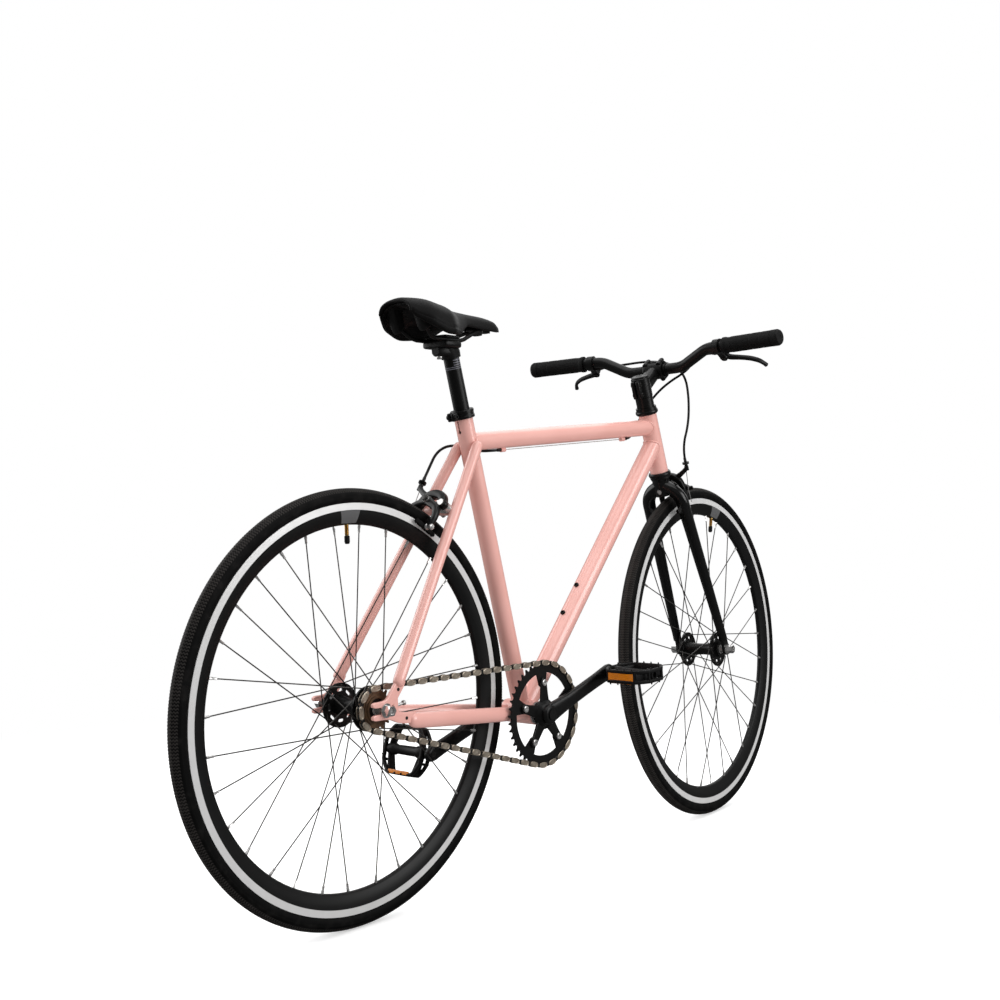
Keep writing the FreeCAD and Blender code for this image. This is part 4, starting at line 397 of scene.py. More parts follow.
def tyreRubber():
    material, feed, uv, where = finish("tyreRubber", specular=0.1)
    around, across = uv.parts()[:2]
    lean = abs(across - 0.5)        # 0 on the crown, a half at the beads
    blocks = 1.0 - (around * treadCount).zigzag() * 2.0
    tread = 1.0 - lean.ease(0.215, 0.23)
    middle = 1.0 - lean.ease(0.05, 0.06)
    groove = (abs(lean - 0.222) < 0.006).maths("MAXIMUM", abs(lean - 0.065) < 0.005) * 0.6
    patch = where.noise(60.0, 4.0)
    dust = patch.ease(0.45, 0.8)
    # lighter on the raised tread blocks and along the centre strip, darker in the sunk gaps between the
    # blocks: painted shade in the gaps; the dust patches are the rubber's own tone
    lighterShare = tread * blocks.ease(0.3, 0.7) * 0.6 + middle * 0.25 + dust * 0.15
    feed("Base Color", lighterShare.blend(rgb(0.002), rgb(0.05, 0.045, 0.042)))
    feed("Roughness", patch * 0.2 + 0.55)
    bump(feed, where.noise(900.0, 3.0) * 0.12 - groove, 0.6, 0.5)
    return material


# metres: the grey patch's slanted sides, its lower and upper edge, and the turning lines of the track
rimPatch = {"slope": 0.25, "side": (-0.0562, -0.0558), "low": (0.2845, 0.2848), "high": (0.3042, 0.3046),
            "ring": 0.00035}


def rimFinish(name, place):
    # black rim with a machined brake track and a plain grey patch at the valve
    material, feed, _, where = finish(name, specular=0.25)
    x, _, z = inPlace(where, place).parts()
    radius = (x * x + z * z).maths("SQRT")
    track = radius.ease(wheelSizes["trackLow"] * mm, (wheelSizes["trackLow"] + 0.3) * mm)
    patchEdge = 1.0 - (abs(x) - z * rimPatch["slope"]).ease(*rimPatch["side"])
    patch = patchEdge * z.ease(*rimPatch["low"]) * (1.0 - z.ease(*rimPatch["high"]))
    stain = where.noise(45.0, 4.0)
    black = stain.blend(rgb(0.0025), rgb(0.005))
    silver = stain.blend(rgb(0.86, 0.855, 0.85), rgb(0.74, 0.735, 0.73))
    body = patch.blend(black, rgb(0.11, 0.11, 0.112))
    feed("Base Color", track.blend(body, silver))
    feed("Metallic", track * 0.3)
    rings = (radius * (2 * math.pi / rimPatch["ring"])).maths("SINE")
    feed("Roughness", track * (0.22 - 0.38) + 0.38 + stain * 0.06)
    bump(feed, rings * track * 0.3 + where.noise(1100.0, 2.0) * (1.0 - track) * 0.5, 0.15, 0.03)
    return material


def postFinish():
    # black anodised post with a scale of plain marks below the clamp
    material, feed, _, where = finish("postFinish", specular=0.3)
    top = crankPoint + seatUp * (frameSizes["seatTube"] + frameSizes["post"]) * mm
    x, y, z = inPlace(where, (top, axesFrom(sideways, seatUp))).parts()
    down = z * (-1 / mm)        # millimetres below the top of the post
    rings = (abs(down - 16.0) < 0.5).maths("MAXIMUM", abs(down - 19.0) < 0.5)
    step = ((down - 8.0) * 0.25).maths("FRACT")
    ladder = (down > -1.0) * (down < 13.5) * (y < -0.0095)
    rungs = (step < 0.3) * (x > -0.0085)
    stile = abs(x + 0.0005) < 0.0007
    marks = rings.maths("MAXIMUM", rungs.maths("MAXIMUM", stile) * ladder)
    grain = where.noise(1300.0, 3.0)
    feed("Base Color", marks.blend(rgb(0.0025), rgb(0.16, 0.16, 0.19)))
    feed("Roughness", grain * 0.14 + 0.32)
    bump(feed, grain, 0.15, 0.08)
    return material


def boltSteel():        # bright on the stop screws at the back, dark on the bottle bolts
    material, feed, _, where = finish("boltSteel", metal=0.8)
    x = where.parts()[0]
    patch = where.noise(160.0, 3.0)
    bright = patch.blend(rgb(0.68, 0.67, 0.66), rgb(0.48, 0.47, 0.46))
    dark = patch.blend(rgb(0.03, 0.027, 0.025), rgb(0.015, 0.014, 0.014))
    feed("Base Color", (x < -0.2).blend(dark, bright))
    feed("Roughness", patch * 0.2 + 0.2)
    return material


def gripRubber():
    material, feed, _, where = finish("gripRubber", specular=0.2)
    patch = where.noise(70.0, 3.0)
    feed("Base Color", patch.blend(rgb(0.0025), rgb(0.0055)))
    feed("Roughness", patch * 0.15 + 0.62)
    bump(feed, where.noise(1500.0, 2.0), 0.3, 0.15)
    return material


def amberLens():
    material, feed, _, where = finish("amberLens", rough=0.12, coat=0.8, coatRough=0.05)
    x, y, z = where.parts()
    cellsPerMetre = 520.0
    cells = ((x + z) * cellsPerMetre).zigzag() + (y * cellsPerMetre).zigzag()
    feed("Base Color", cells.ease(0.15, 0.75).blend(rgb(0.32, 0.075, 0.003), rgb(0.85, 0.27, 0.012)))
    # the cells glow faintly amber through the emission: a painted glint of the reflector, which gives no
    # light of its own
    feed("Emission Color", cells.ease(0.2, 0.8).blend(rgb(0.02, 0.004, 0.0), rgb(0.06, 0.015, 0.0)))
    bump(feed, cells, 0.35, 0.4)
    return material


def saddleSkin():
    material, feed, _, where = finish("saddleSkin", specular=0.12)
    cells = where.node("ShaderNodeTexVoronoi", {"feature": "DISTANCE_TO_EDGE"},
                       {"Vector": where, "Scale": 620.0})
    lighterShare = where.noise(22.0, 3.0)
    feed("Base Color", lighterShare.blend(rgb(0.0025), rgb(0.006, 0.0055, 0.0055)))
    feed("Roughness", lighterShare * 0.16 + 0.46)
    bump(feed, cells.ease(0.0, 0.35) + where.noise(240.0, 2.0) * 0.4, 0.22, 0.2)
    return material


def wheelPlace(joint, up, valveTurn):        # wheel frame with its third axis through the valve
    return turnedPlace((jointPoint(joint), axesFrom(jointAxis(joint), up)), valveTurn)


wheelPlaces = {"rear": wheelPlace("rear_wheel_spin", upright, -1.8),
               "front": wheelPlace("front_wheel_spin", steerUp, 33.0)}

pink = pinkPaint()
weldPaint = pinkPaint("weldPaint", ripple=1.0)
glossBlack = blackFinish("glossBlack", 0.002, 0.2, 0.25, 500.0, coat=0.3)
satinBlack = blackFinish("satinBlack", 0.003, 0.38, 0.25, 1500.0)
alloyBlack = blackFinish("alloyBlack", 0.0025, 0.28, 0.3, 1900.0)
plasticBlack = blackFinish("plasticBlack", 0.0035, 0.45, 0.22, 1100.0)
sheathBlack = blackFinish("sheathBlack", 0.003, 0.34, 0.25, 800.0)
padRubber = blackFinish("padRubber", 0.004, 0.7, 0.12, 700.0)
brightSteel = metalFinish("brightSteel", (0.74, 0.73, 0.72), (0.5, 0.49, 0.48), 0.16, 900.0, 0.8)
nutSteel = finish("nutSteel", colour=(0.82, 0.81, 0.8), metal=1.0, rough=0.12)[0]
spokeSteel = metalFinish("spokeSteel", (0.085, 0.08, 0.076), (0.04, 0.038, 0.036), 0.2, 700.0, 0.8)
chainSteel = metalFinish("chainSteel", (0.47, 0.41, 0.33), (0.30, 0.25, 0.2), 0.24, 1200.0, 0.7)
brownSteel = metalFinish("brownSteel", (0.16, 0.09, 0.047), (0.09, 0.055, 0.035), 0.36, 800.0, 0.6)
darkSteel = metalFinish("darkSteel", (0.05, 0.048, 0.046), (0.025, 0.024, 0.023), 0.3, 900.0, 0.8)
brass = metalFinish("brass", (0.72, 0.50, 0.2), (0.55, 0.36, 0.13), 0.24, 900.0)
tyre = tyreRubber()
grip = gripRubber()
amber = amberLens()
skin = saddleSkin()
slotFinishes = {"frame_paint": pink, "black_paint": glossBlack, "black_alloy": alloyBlack,
                "silver_alloy": brightSteel, "steel": brightSteel, "chain_steel": chainSteel,
                "dark_steel": brownSteel, "tyre": tyre, "rubber": grip, "black_plastic": plasticBlack,
                "amber_plastic": amber, "saddle_skin": skin}
nodeFinishes = {"rear_rim": rimFinish("rearRimFinish", wheelPlaces["rear"]),
                "front_rim": rimFinish("frontRimFinish", wheelPlaces["front"]),
                "seatpost": postFinish(), "rear_axle_nuts": nutSteel, "front_axle_nuts": nutSteel,
                "chainring": satinBlack, "crank_spindle": plasticBlack, "pedal_axles": darkSteel}
for name, node in nodes.items():
    slotName = node.data.materials[0].name.split(".")[0] if node.data.materials else "black_alloy"
    node.data.materials.clear()
    node.data.materials.append(nodeFinishes.get(name, slotFinishes.get(slotName, alloyBlack)))
print("finishes made:", len(bpy.data.materials))


# Tyres: an arc for the tread and side walls, in to the beads and back round the inside
def tyreProfile():
    size = wheelSizes
    reach = math.acos((size["seat"] - size["tyreCentre"]) / size["section"])
    swing = np.linspace(-reach, reach, size["arcSteps"] + 1)
    tread = np.abs(swing) < reach * size["treadShare"]
    skinRadius = size["section"] - np.where(tread, 0.0, size["rise"])
    outer = spread(size["tyreCentre"] + skinRadius * np.cos(swing), skinRadius * np.sin(swing))
    inner = size["section"] - size["wall"]
    turnIn = math.pi - math.asin(size["beadIn"] / inner)
    swing = np.linspace(turnIn, -turnIn, 25)
    inside = spread(size["tyreCentre"] + inner * np.cos(swing), inner * np.sin(swing))
    out, low = size["beadOut"], size["bedRadius"]
    return np.concatenate([outer, [(size["seat"], out), (low, out), (low, size["beadIn"])], inside,
                           [(low, -size["beadIn"]), (low, -out), (size["seat"], -out)]])


def addTyre(name, place, body):
    # the section carried round in zigzag columns, every second one sunk between the blocks
    profile, size = tyreProfile(), wheelSizes
    lean = np.abs(np.clip(np.arange(len(profile)) / size["arcSteps"], 0, 1) - 0.5)[:, None]
    blocks = (lean > size["blocksFrom"]) & (lean < size["blocksTo"])
    zig = (1 - np.abs((lean * size["zigs"]) % 2 - 1)) * size["zigShare"] * (lean < size["blocksTo"])
    column = np.arange(2 * treadCount)
    angle = (column / 2 + zig) * 2 * np.pi / treadCount
    away = unit(profile - [size["tyreCentre"], 0.0])
    sunk = profile[:, None] - away[:, None] * (blocks * (column % 2))[..., None] * size["treadDepth"]
    local = spread(sunk[..., 0] * np.sin(angle), sunk[..., 1], sunk[..., 0] * np.cos(angle))
    points, faces, corners = gridShape(put(local, place), closeRows=True)
    # 0 to 1 across the outside arc
    corners[..., 1] = np.minimum(corners[..., 1] * len(profile) / size["arcSteps"], 1.0)
    addPiece(name + "Tyre", [(points, faces, corners)], tyre, body, [name + "_tyre"], sharp=60)


valve = {"stem": 3.1, "collar": 3.7, "start": 283.0, "capFrom": 265.0, "end": 252.5, "cap": 4.4}


def addTube(name, place, body):        # the tube inside the tyre, its brass valve and the black cap
    swing = np.linspace(0, 2 * np.pi, 20, endpoint=False)
    skinRadius = wheelSizes["section"] - wheelSizes["wall"] - 0.5
    profile = spread(wheelSizes["tyreCentre"] + skinRadius * np.cos(swing), skinRadius * np.sin(swing))
    addPiece(name + "Tube", [turnShape(profile, place, 96, closed=True)], padRubber, body,
             [name + "_inner_tube"])
    top = wheelSizes["rimEdge"]
    inwards = along(place, (0, 0, top), (0, 0, -1))
    threads = np.arange(80)
    stem = spread(valve["stem"] + 0.22 * (threads % 2), top - valve["start"] + threads * 0.2)
    rows = np.concatenate([[(0, 0), (valve["collar"], 0), (valve["collar"], top - valve["start"] + 1.2)],
                           stem,
                           [(valve["stem"] * 0.8, top - valve["capFrom"] + 1),
                            (0, top - valve["capFrom"] + 1)]])
    addPiece(name + "Valve", [turnShape(rows, inwards, 20)], brass, body)
    low, high = top - valve["capFrom"], top - valve["end"]
    ridge = [(valve["cap"] - 0.25 * (k % 2), low + 0.8 + k * 0.55) for k in range(15)]
    rows = [(0, low), (valve["cap"] * 0.9, low), *ridge, (valve["cap"] * 0.8, high - 0.6),
            (valve["cap"] * 0.5, high), (0, high)]
    addPiece(name + "ValveCap", [turnShape(rows, inwards, 20)], plasticBlack, body)


# Spokes: headed in the flange, bent, straight to the nipple
spoke = {"count": 32, "cross": 3, "radius": 1.0, "circle": 31.0, "face": 1.6, "stagger": 1.5, "gap": 0.2,
         "nipple": 12.0, "stand": 2.4, "head": 1.9,
         "nippleRows": [(0.0, 1.25), (0.5, 1.5), (0.5, 1.7), (6.5, 1.7), (7.5, 2.1), (12.3, 2.1)]}


def addSpokes(name, place, body, offset):
    half = spoke["count"] // 2
    step = 2 * np.pi / half
    index = np.tile(np.arange(half), 2)
    side = np.repeat([1.0, -1.0], half)
    outside = np.where(index % 2 == 0, 1.0, -1.0)
    hubTurn = step / 4 + np.where(side > 0, 0, step / 2) + step * index
    rimTurn = hubTurn + outside * step * spoke["cross"]
    reach = (spoke["face"] + spoke["radius"] + np.where(outside > 0, spoke["stand"], 0.0)) * outside

    def spot(radius, turn, across):        # radius, angle and distance along the axle
        return spread(radius * np.cos(turn), across, -radius * np.sin(turn))

    near = spot(spoke["circle"], hubTurn, side * (offset + reach))
    far = spot(wheelSizes["rimInner"] - spoke["gap"], rimTurn, side * spoke["stagger"])
    run = unit(far - near)
    through = spot(0.0, hubTurn, -side * outside)        # unit step across the flange, towards the head
    hole = near + through * np.abs(reach)[:, None]
    headBase = hole + through * spoke["face"]
    nippleEnd = far - run * spoke["nipple"]
    path = np.stack([headBase + through * 1.2, headBase, headBase, near + through * 1.6,
                     near + through * 0.4 + run * 0.4, near + run * 1.6, nippleEnd], 1)
    path[:, 2] += -through * 0.05
    radii = [spoke["head"] * 0.7, spoke["head"]] + [spoke["radius"]] * 5
    up = np.repeat((spot(1.0, hubTurn + np.pi / 2, 0.0) @ place[1])[:, None], path.shape[1], 1)
    wires = sweepShapes(put(path, place), np.broadcast_to(radii, path.shape[:2]), sides=8, up=up)
    addPiece(name + "Spokes", [wires], spokeSteel, body, [name + "_spokes"])
    marks, radii = np.array(spoke["nippleRows"]).T
    path = nippleEnd[:, None] + run[:, None] * marks[:, None]
    nipples = sweepShapes(put(path, place), np.broadcast_to(radii, path.shape[:2]), sides=8, up=up[:, :6],
                          power=3.2)
    addPiece(name + "Nipples", [nipples], brightSteel, body)


for name, offset in (("rear", 33.0), ("front", 34.0)):
    addTyre(name, wheelPlaces[name], name + "_wheel")
    addTube(name, wheelPlaces[name], name + "_wheel")
    addSpokes(name, wheelPlaces[name], name + "_wheel", offset)
print("wheels dressed")

# Chain: links between pins that follow the two sprockets and the straight runs
chain = {"pitch": 12.7, "links": 94, "ring": 44, "cog": 16, "line": 48.0, "inside": 1.65, "plate": 1.1,
         "gap": 0.1, "roller": 3.8, "pin": 1.6}


def chainPins():
    pitch = chain["pitch"]
    ringRadius, cogRadius = (pitch / (2 * math.sin(math.pi / chain[name])) for name in ("ring", "cog"))
    ring = crankPoint[[0, 2]] / mm
    cog = jointPoint("rear_wheel_spin")[[0, 2]] / mm
    distance = np.linalg.norm(cog - ring)
    lean = math.asin((ringRadius - cogRadius) / distance)
    onRing = (math.pi + 2 * lean) * chain["ring"] / (2 * math.pi)
    onRun = distance * math.cos(lean) / pitch
    onCog = (math.pi - 2 * lean) * chain["cog"] / (2 * math.pi)
    back = (cog - ring) / distance
    above = np.array([back[1], -back[0]])
    upper, lower = (back * math.sin(lean) + sign * above * math.cos(lean) for sign in (1, -1))
    k = np.arange(chain["links"], dtype=float)[:, None]
    turnRing = math.atan2(lower[1], lower[0]) + k * 2 * math.pi / chain["ring"]
    turnCog = math.atan2(upper[1], upper[0]) + (k - onRing - onRun) * 2 * math.pi / chain["cog"]
    upperRun = unit(cog + upper * cogRadius - ring - upper * ringRadius)
    lowerRun = unit(ring + lower * ringRadius - cog - lower * cogRadius)
    spots = [ring + ringRadius * np.hstack([np.cos(turnRing), np.sin(turnRing)]),
             ring + upper * ringRadius + upperRun * (k - onRing) * pitch,
             cog + cogRadius * np.hstack([np.cos(turnCog), np.sin(turnCog)]),
             cog + lower * cogRadius + lowerRun * (k - onRing - onRun - onCog) * pitch]
    return np.select([k <= onRing, k <= onRing + onRun, k <= onRing + onRun + onCog], spots[:3], spots[3])


def addChain():
    pins = chainPins()
    ahead = unit(np.roll(pins, -1, 0) - pins)
    above = np.stack([-ahead[:, 1], ahead[:, 0]], 1)
    middle = (np.roll(pins, -1, 0) + pins) / 2
    half = chain["pitch"] / 2

    def standing(pick, x, y, across):
        # outlines (links, rows, columns): along, above and across the chain
        centre, forward, over = (part[pick, None, None] for part in (middle, ahead, above))
        flat = centre + forward * x[..., None] + over * y[..., None]
        return spread(flat[..., 0], across - chain["line"], flat[..., 1]) * mm

    def oval(length, height, power, count):        # superellipse outline
        turn = np.arange(count) * 2 * np.pi / count
        c, s = np.cos(turn), np.sin(turn)
        return length * np.sign(c) * np.abs(c) ** (2 / power), height * np.sign(s) * np.abs(s) ** (2 / power)

    outside = chain["inside"] + chain["plate"] + chain["gap"]
    plates = [("chainOuterPlates", 1, outside, oval(10.4, 4.9, 2.5, 16), chainSteel, ["chain"]),
              ("chainInnerPlates", 0, chain["inside"], oval(9.9, 3.7, 3.0, 12), darkSteel, [])]
    shrink = np.array([0.0, 1.0, 1.0, 0.86, 0.72, 0.0])[:, None]
    for name, first, start, (x, y), material, replaced in plates:
        pick = np.arange(first, chain["links"], 2)
        shapes = []
        for side in (1, -1):
            end = start + chain["plate"]
            depth = side * np.array([start, start, end - 0.3, end, end - 0.6, end - 0.6])[:, None]
            shapes.append(gridShapes(standing(pick, shrink * x, shrink * y, depth)))
        addPiece(name, shapes, material, "frame", replaced, sharp=20)
    reach = outside + chain["plate"] + 0.15
    every = np.arange(chain["links"])
    rounds = [("chainRollers", chain["roller"], chain["inside"] - 0.05, darkSteel),
              ("chainPins", chain["pin"], reach, chainSteel)]
    for name, radius, span, material in rounds:
        radii = np.array([0.0, radius * 0.85, radius, radius, radius * 0.85, 0.0])[:, None]
        across = np.array([-span, -span, -span + 0.25, span - 0.25, span, span])[:, None]
        x, y = oval(1.0, 1.0, 2.0, 12)
        addPiece(name, [gridShapes(standing(every, radii * x - half, radii * y, across))], material, "frame")


addChain()
ringBolt = {"circle": 55.0, "radius": 5.6, "height": 2.2, "socket": 2.6, "front": 53.8, "back": 46.7,
            "backHeight": 1.6}
crankPlace = (crankPoint, np.diag([1.0, -1.0, 1.0]))        # second axis out of the right side
spiderArms = 5
shapes = []
for arm in range(spiderArms):
    turn = math.radians(crankTurn + 360 / spiderArms * arm)
    x, z = ringBolt["circle"] * math.cos(turn), ringBolt["circle"] * math.sin(turn)
    for side, face, height in ((1, ringBolt["front"], ringBolt["height"]),
                               (-1, ringBolt["back"], ringBolt["backHeight"])):
        seat = along(crankPlace, (x, face, z), (0, side, 0))
        shapes.append(capHead(seat, ringBolt["radius"], height, ringBolt["socket"]))
addPiece("chainringBolts", shapes, brightSteel, "crank", ["chainring_bolts"])
print("chain and ring dressed")

# Cranks: flat-sided arms with swollen ends on round bosses, and a five-armed spider on the right
crank = {"root": 61.8, "end": 70.8, "web": 51.55, "webHalf": 2.2,
         "rows": [(-17.5, 3.0, 2.5), (-16.0, 9.0, 4.5), (-12.0, 13.5, 5.8), (-5.0, 16.4, 6.4),
                  (6.0, 17.0, 6.5), (22.0, 15.6, 6.5), (52.0, 13.4, 6.5), (92.0, 12.6, 6.5),
                  (132.0, 12.8, 6.5), (156.0, 13.6, 6.5), (168.0, 13.8, 6.4), (177.0, 11.4, 6.0),
                  (182.5, 6.6, 4.6), (184.0, 2.0, 2.0)],
         "boss": [(8.6, 49.4), (16.4, 49.4), (17.4, 50.6), (17.2, 62.0), (15.8, 67.2), (14.2, 68.3),
                  (9.1, 68.3), (9.1, 66.4), (8.6, 66.3)],
         "flange": [(8.6, 49.4), (26.0, 49.4), (27.0, 50.2), (25.0, 53.0), (20.0, 56.0), (17.4, 60.0),
                    (8.6, 60.0)],
         "spider": [(6.0, 12.0), (20.0, 11.8), (34.0, 9.8), (46.0, 8.6), (55.0, 8.2), (60.0, 6.2),
                    (63.0, 3.0), (63.8, 1.0)]}


def crankBar(angle, hand, at, wide, thick, depth, power):
    # rows of half width and half thickness along a ray from the crank axis
    ray, side = (np.array([math.cos(angle + lean), 0.0, math.sin(angle + lean)])
                 for lean in (0.0, math.pi / 2))
    path = np.outer(at, ray) + np.outer(depth, [0.0, -hand, 0.0])
    return sweepShape(put(path, crankCentre), wide, sides=32, up=side, flat=thick / wide, power=power)


def addCranks():
    shapes = []
    at, wide, thick = np.array(crank["rows"]).T
    depth = crank["root"] + (crank["end"] - crank["root"]) * np.clip((at - 10) / 150, 0, 1)
    angle = math.radians(crankTurn)
    for hand, turn in ((1, angle), (-1, angle + math.pi)):
        axle = along(crankCentre, (0, 0, 0), (0, -hand, 0))
        shapes += [crankBar(turn, hand, at, wide, thick, depth, 2.8),
                   turnShape(crank["boss"], axle, 48, closed=True)]
    shapes.append(turnShape(crank["flange"], along(crankCentre, (0, 0, 0), (0, -1, 0)), 48, closed=True))
    at, wide = np.array(crank["spider"]).T
    for arm in range(spiderArms):
        turn = angle + arm * 2 * math.pi / spiderArms
        shapes.append(crankBar(turn, 1, at, wide, 0 * at + crank["webHalf"], 0 * at + crank["web"], 4.0))
    addPiece("crankArms", shapes, alloyBlack, "crank", ["crank_arms"], sharp=50)


addCranks()

# Welds: a bead along the line where a branch tube meets another
bead = {"radius": 2.3, "count": 96, "ripple": 0.06, "ripples": 32, "sink": 0.4}
headLow = frameSizes["headLow"]
tubes = {"head": (put((0, 0, headLow), steerPlace), steerUp), "seat": (crankPoint, seatUp),
         "shell": (crankPoint, sideways)}
seatTop = crankPoint + seatUp * frameSizes["seatTube"] * mm
topRear = seatTop - seatUp * frameSizes["topBelow"] * mm
topFront = put((0, 0, headLow + frameSizes["headLength"] - frameSizes["topDrop"]), steerPlace)
downFront = put((0, 0, headLow + frameSizes["downRise"]), steerPlace)


def weldLine(branchStart, branchAxis, branchRadius, tube):
    # on the branch's surface, the distance along it at which the other tube's surface is met first
    (origin, axis), radius = tubes[tube], frameSizes[tube]
    branchAxis = unit(branchAxis)
    axes = axesFrom(branchAxis, upright if abs(branchAxis[2]) < 0.9 else worldAxes[0])
    angle = np.arange(bead["count"]) * 2 * np.pi / bead["count"]
    around = np.outer(np.sin(angle), axes[0]) + np.outer(np.cos(angle), axes[2])
    skinPoint = branchStart + branchRadius * mm * around
    gap = skinPoint - origin
    gap = gap - np.outer(gap @ axis, axis)
    slope = branchAxis - axis * (branchAxis @ axis)
    a, b = slope @ slope, gap @ slope
    c = (gap * gap).sum(1) - (radius * mm) ** 2
    root = np.maximum(b * b - a * c, 0.0)
    line = skinPoint + np.outer((-b - np.sqrt(root)) / a, branchAxis)
    return line, np.broadcast_to(branchAxis, skinPoint.shape)


def addWelds():
    shapes = []
    joins = [(topRear, topFront, "top", "head"), (topFront, topRear, "top", "seat"),
             (crankPoint, downFront, "down", "head"), (downFront, crankPoint, "down", "shell"),
             (seatTop, crankPoint, "seat", "shell")]
    turn = np.arange(bead["count"]) * 2 * np.pi / bead["count"]
    ripple = 1 + bead["ripple"] * np.sin(turn * bead["ripples"])
    for start, end, branch, tube in joins:
        line, up = weldLine((start + end) / 2, end - start, frameSizes[branch] - bead["sink"], tube)
        shapes.append(sweepShapes(line[None], (bead["radius"] * ripple)[None], sides=10, up=up[None],
                                  closed=True))
    addPiece("tubeWelds", shapes, weldPaint, "frame", sharp=60)


addWelds()
print("welds laid")

# Bar ends: grips, levers and the cable barrels, in a place whose third axis runs inwards along the bar
barEnd = {"sweep": 5.8, "droop": 31.0, "pivotReach": 29.0, "pivotAlong": 134.5, "barrelReach": 17.1,
          "barrelEnd": 155.0, "headAngle": 72.0}
gripSize = {"length": 119.0, "radius": 15.6, "flange": 16.9, "bore": 11.2, "panels": 4, "rib": 0.6}


def barEndPlace(side):
    ahead, left, up = steerPlace[1]
    lean = math.radians(barEnd["headAngle"])
    barUp = ahead * math.cos(lean) + up * math.sin(lean)
    barBack = -ahead * math.sin(lean) + up * math.cos(lean)
    inwards = unit(-side * left - barBack * math.tan(math.radians(barEnd["sweep"])))
    droop = math.radians(barEnd["droop"])
    reach = -barBack * math.cos(droop) - barUp * math.sin(droop)
    reach = unit(reach - inwards * (reach @ inwards))
    axes = np.array([reach, np.cross(inwards, reach), inwards])
    pivot = jointPoint("left_lever_pull" if side > 0 else "right_lever_pull")
    origin = pivot - (reach * barEnd["pivotReach"] + inwards * barEnd["pivotAlong"]) * mm
    return origin, axes


barEnds = {"left": barEndPlace(1), "right": barEndPlace(-1)}


def gripShape(place):
    # radius over angle and distance: a plain collar at each end, ribbed panels between, parted by bare rings
    rows, cols = 240, 72
    span = np.linspace(0, gripSize["length"], rows)[:, None]
    turn = np.arange(cols)[None] * 2 * np.pi / cols
    panel = (span - 14.0) / (gripSize["length"] - 30.0) * gripSize["panels"]
    inside = (panel > 0) & (panel < gripSize["panels"])
    part = np.abs((panel % 1.0) - 0.5) < 0.44
    gaps = np.abs(np.sin(turn * 2)) > 0.12
    ribs = 0.5 + 0.5 * np.cos(span * 2 * np.pi / 2.4)
    radius = gripSize["radius"] - 0.5 + np.where(inside & part & gaps, gripSize["rib"] * ribs, 0.0)
    collar = gripSize["radius"] + 0.3 - np.clip(1 - span / 2.0, 0, 1) ** 2 - 0.8 * (np.abs(span - 12.5) < 0.8)
    radius = np.where(~inside & (span < 20), collar, radius)
    flange = np.clip((span - gripSize["length"] + 9.0) / 4.0, 0, 1)
    radius = radius + (gripSize["flange"] - gripSize["radius"]) * flange
    local = spread(radius * np.cos(turn), radius * np.sin(turn), span)
    shrink = gripSize["bore"] / gripSize["flange"]
    bore = local[[-1, 0]] * [shrink, shrink, 1]
    return gridShape(put(np.concatenate([local, bore]), place), closeRows=True)


shapes = [gripShape(place) for place in barEnds.values()]
addPiece("grips", shapes, grip, "steering", ["handlebar_grips"], sharp=50)
shapes = []
for place in barEnds.values():
    out = along(place, (0, 0, 0), (0, 0, -1))
    shapes.append(turnShape([(0, -6), (11, -6), (11, 0), (14.4, 0), (14.2, 1.8), (13.2, 2.8), (4.5, 2.9),
                             (3.6, 1.9), (0, 1.8)], out, 40))
addPiece("barPlugs", shapes, plasticBlack, "steering")

lever = {"keys": [(25.5, 137.5), (30.0, 132.5), (37.0, 125.0), (42.5, 107.0), (49.5, 88.5), (59.5, 75.0),
                  (70.0, 69.0), (78.0, 66.5)],
         "thick": [4.6, 4.9, 4.9, 4.9, 5.0, 4.8, 4.2, 4.0],
         "flat": [1.45, 1.5, 1.2, 0.85, 0.75, 0.72, 0.8, 1.0]}
for side, place in barEnds.items():
    keys = smooth(lever["keys"], 44)
    radii, flat = (smooth(np.array(lever[key])[:, None], 44)[:, 0] for key in ("thick", "flat"))
    path = put(spread(keys[:, 0], 0.0, keys[:, 1]), place)
    blade = sweepShape(path, radii, sides=20, up=place[1][1], flat=flat, power=2.6)
    addPiece(side + "Lever", [blade], satinBlack, side + "_lever", ["brake_lever_" + side])
    heads = [along(place, (barEnd["pivotReach"], sign * 9.9, barEnd["pivotAlong"]), (0, sign, 0))
             for sign in (1, -1)]
    shapes = [capHead(head, 4.6, 1.6, 2.0) for head in heads]
    addPiece(side + "LeverBolts", shapes, darkSteel, "steering")
    end = along(place, (barEnd["barrelReach"], 0, barEnd["barrelEnd"] - 9.0), (0, 0, 1))
    knurl = [(4.6 + 0.35 * (k % 2), 1 + k * 0.6) for k in range(9)]
    adjuster = turnShape([(0, 0), (4.4, 0), *knurl, (3.6, 6.8), (3.6, 10.5), (0, 10.5)], end, 24)
    addPiece(side + "Adjuster", [adjuster], alloyBlack, "steering")
print("bar ends dressed")

# Brakes: arms drawn through the same points as the solids, pads in their holders, bolts and springs
brake = {"cMiddle": 14.4, "yMiddle": 22.8, "half": 4.0, "leg": 26.9, "reach": 50.0, "pivotSide": 27.0,
         "pivotDrop": 2.0, "barrelSide": 45.0, "barrelRise": 46.0, "anchorSide": 39.0, "anchorDrop": 13.0,
         "padIn": 13.4, "padLength": 48.0, "padDrop": 1.5, "front": 31.2,
         "boss": [(3.1, 0), (7.6, 0), (8.0, 0.6), (8.0, 7.4), (7.6, 8.0), (3.1, 8.0)],
         "barrel": [(2.2, 0), (4.2, 0), (4.2, 9.5), (3.2, 10), (3.2, 12.6), (6.0, 12.8)],
         "spring": [(7.0, 10.0, 6.0), (8.0, -8.0, 9.0), (8.5, -20.0, 2.0), (8.5, -25.0, -16.0),
                    (8.5, -23.0, -30.0)]}
brakeHolders = {"front": "steering", "rear": "frame"}


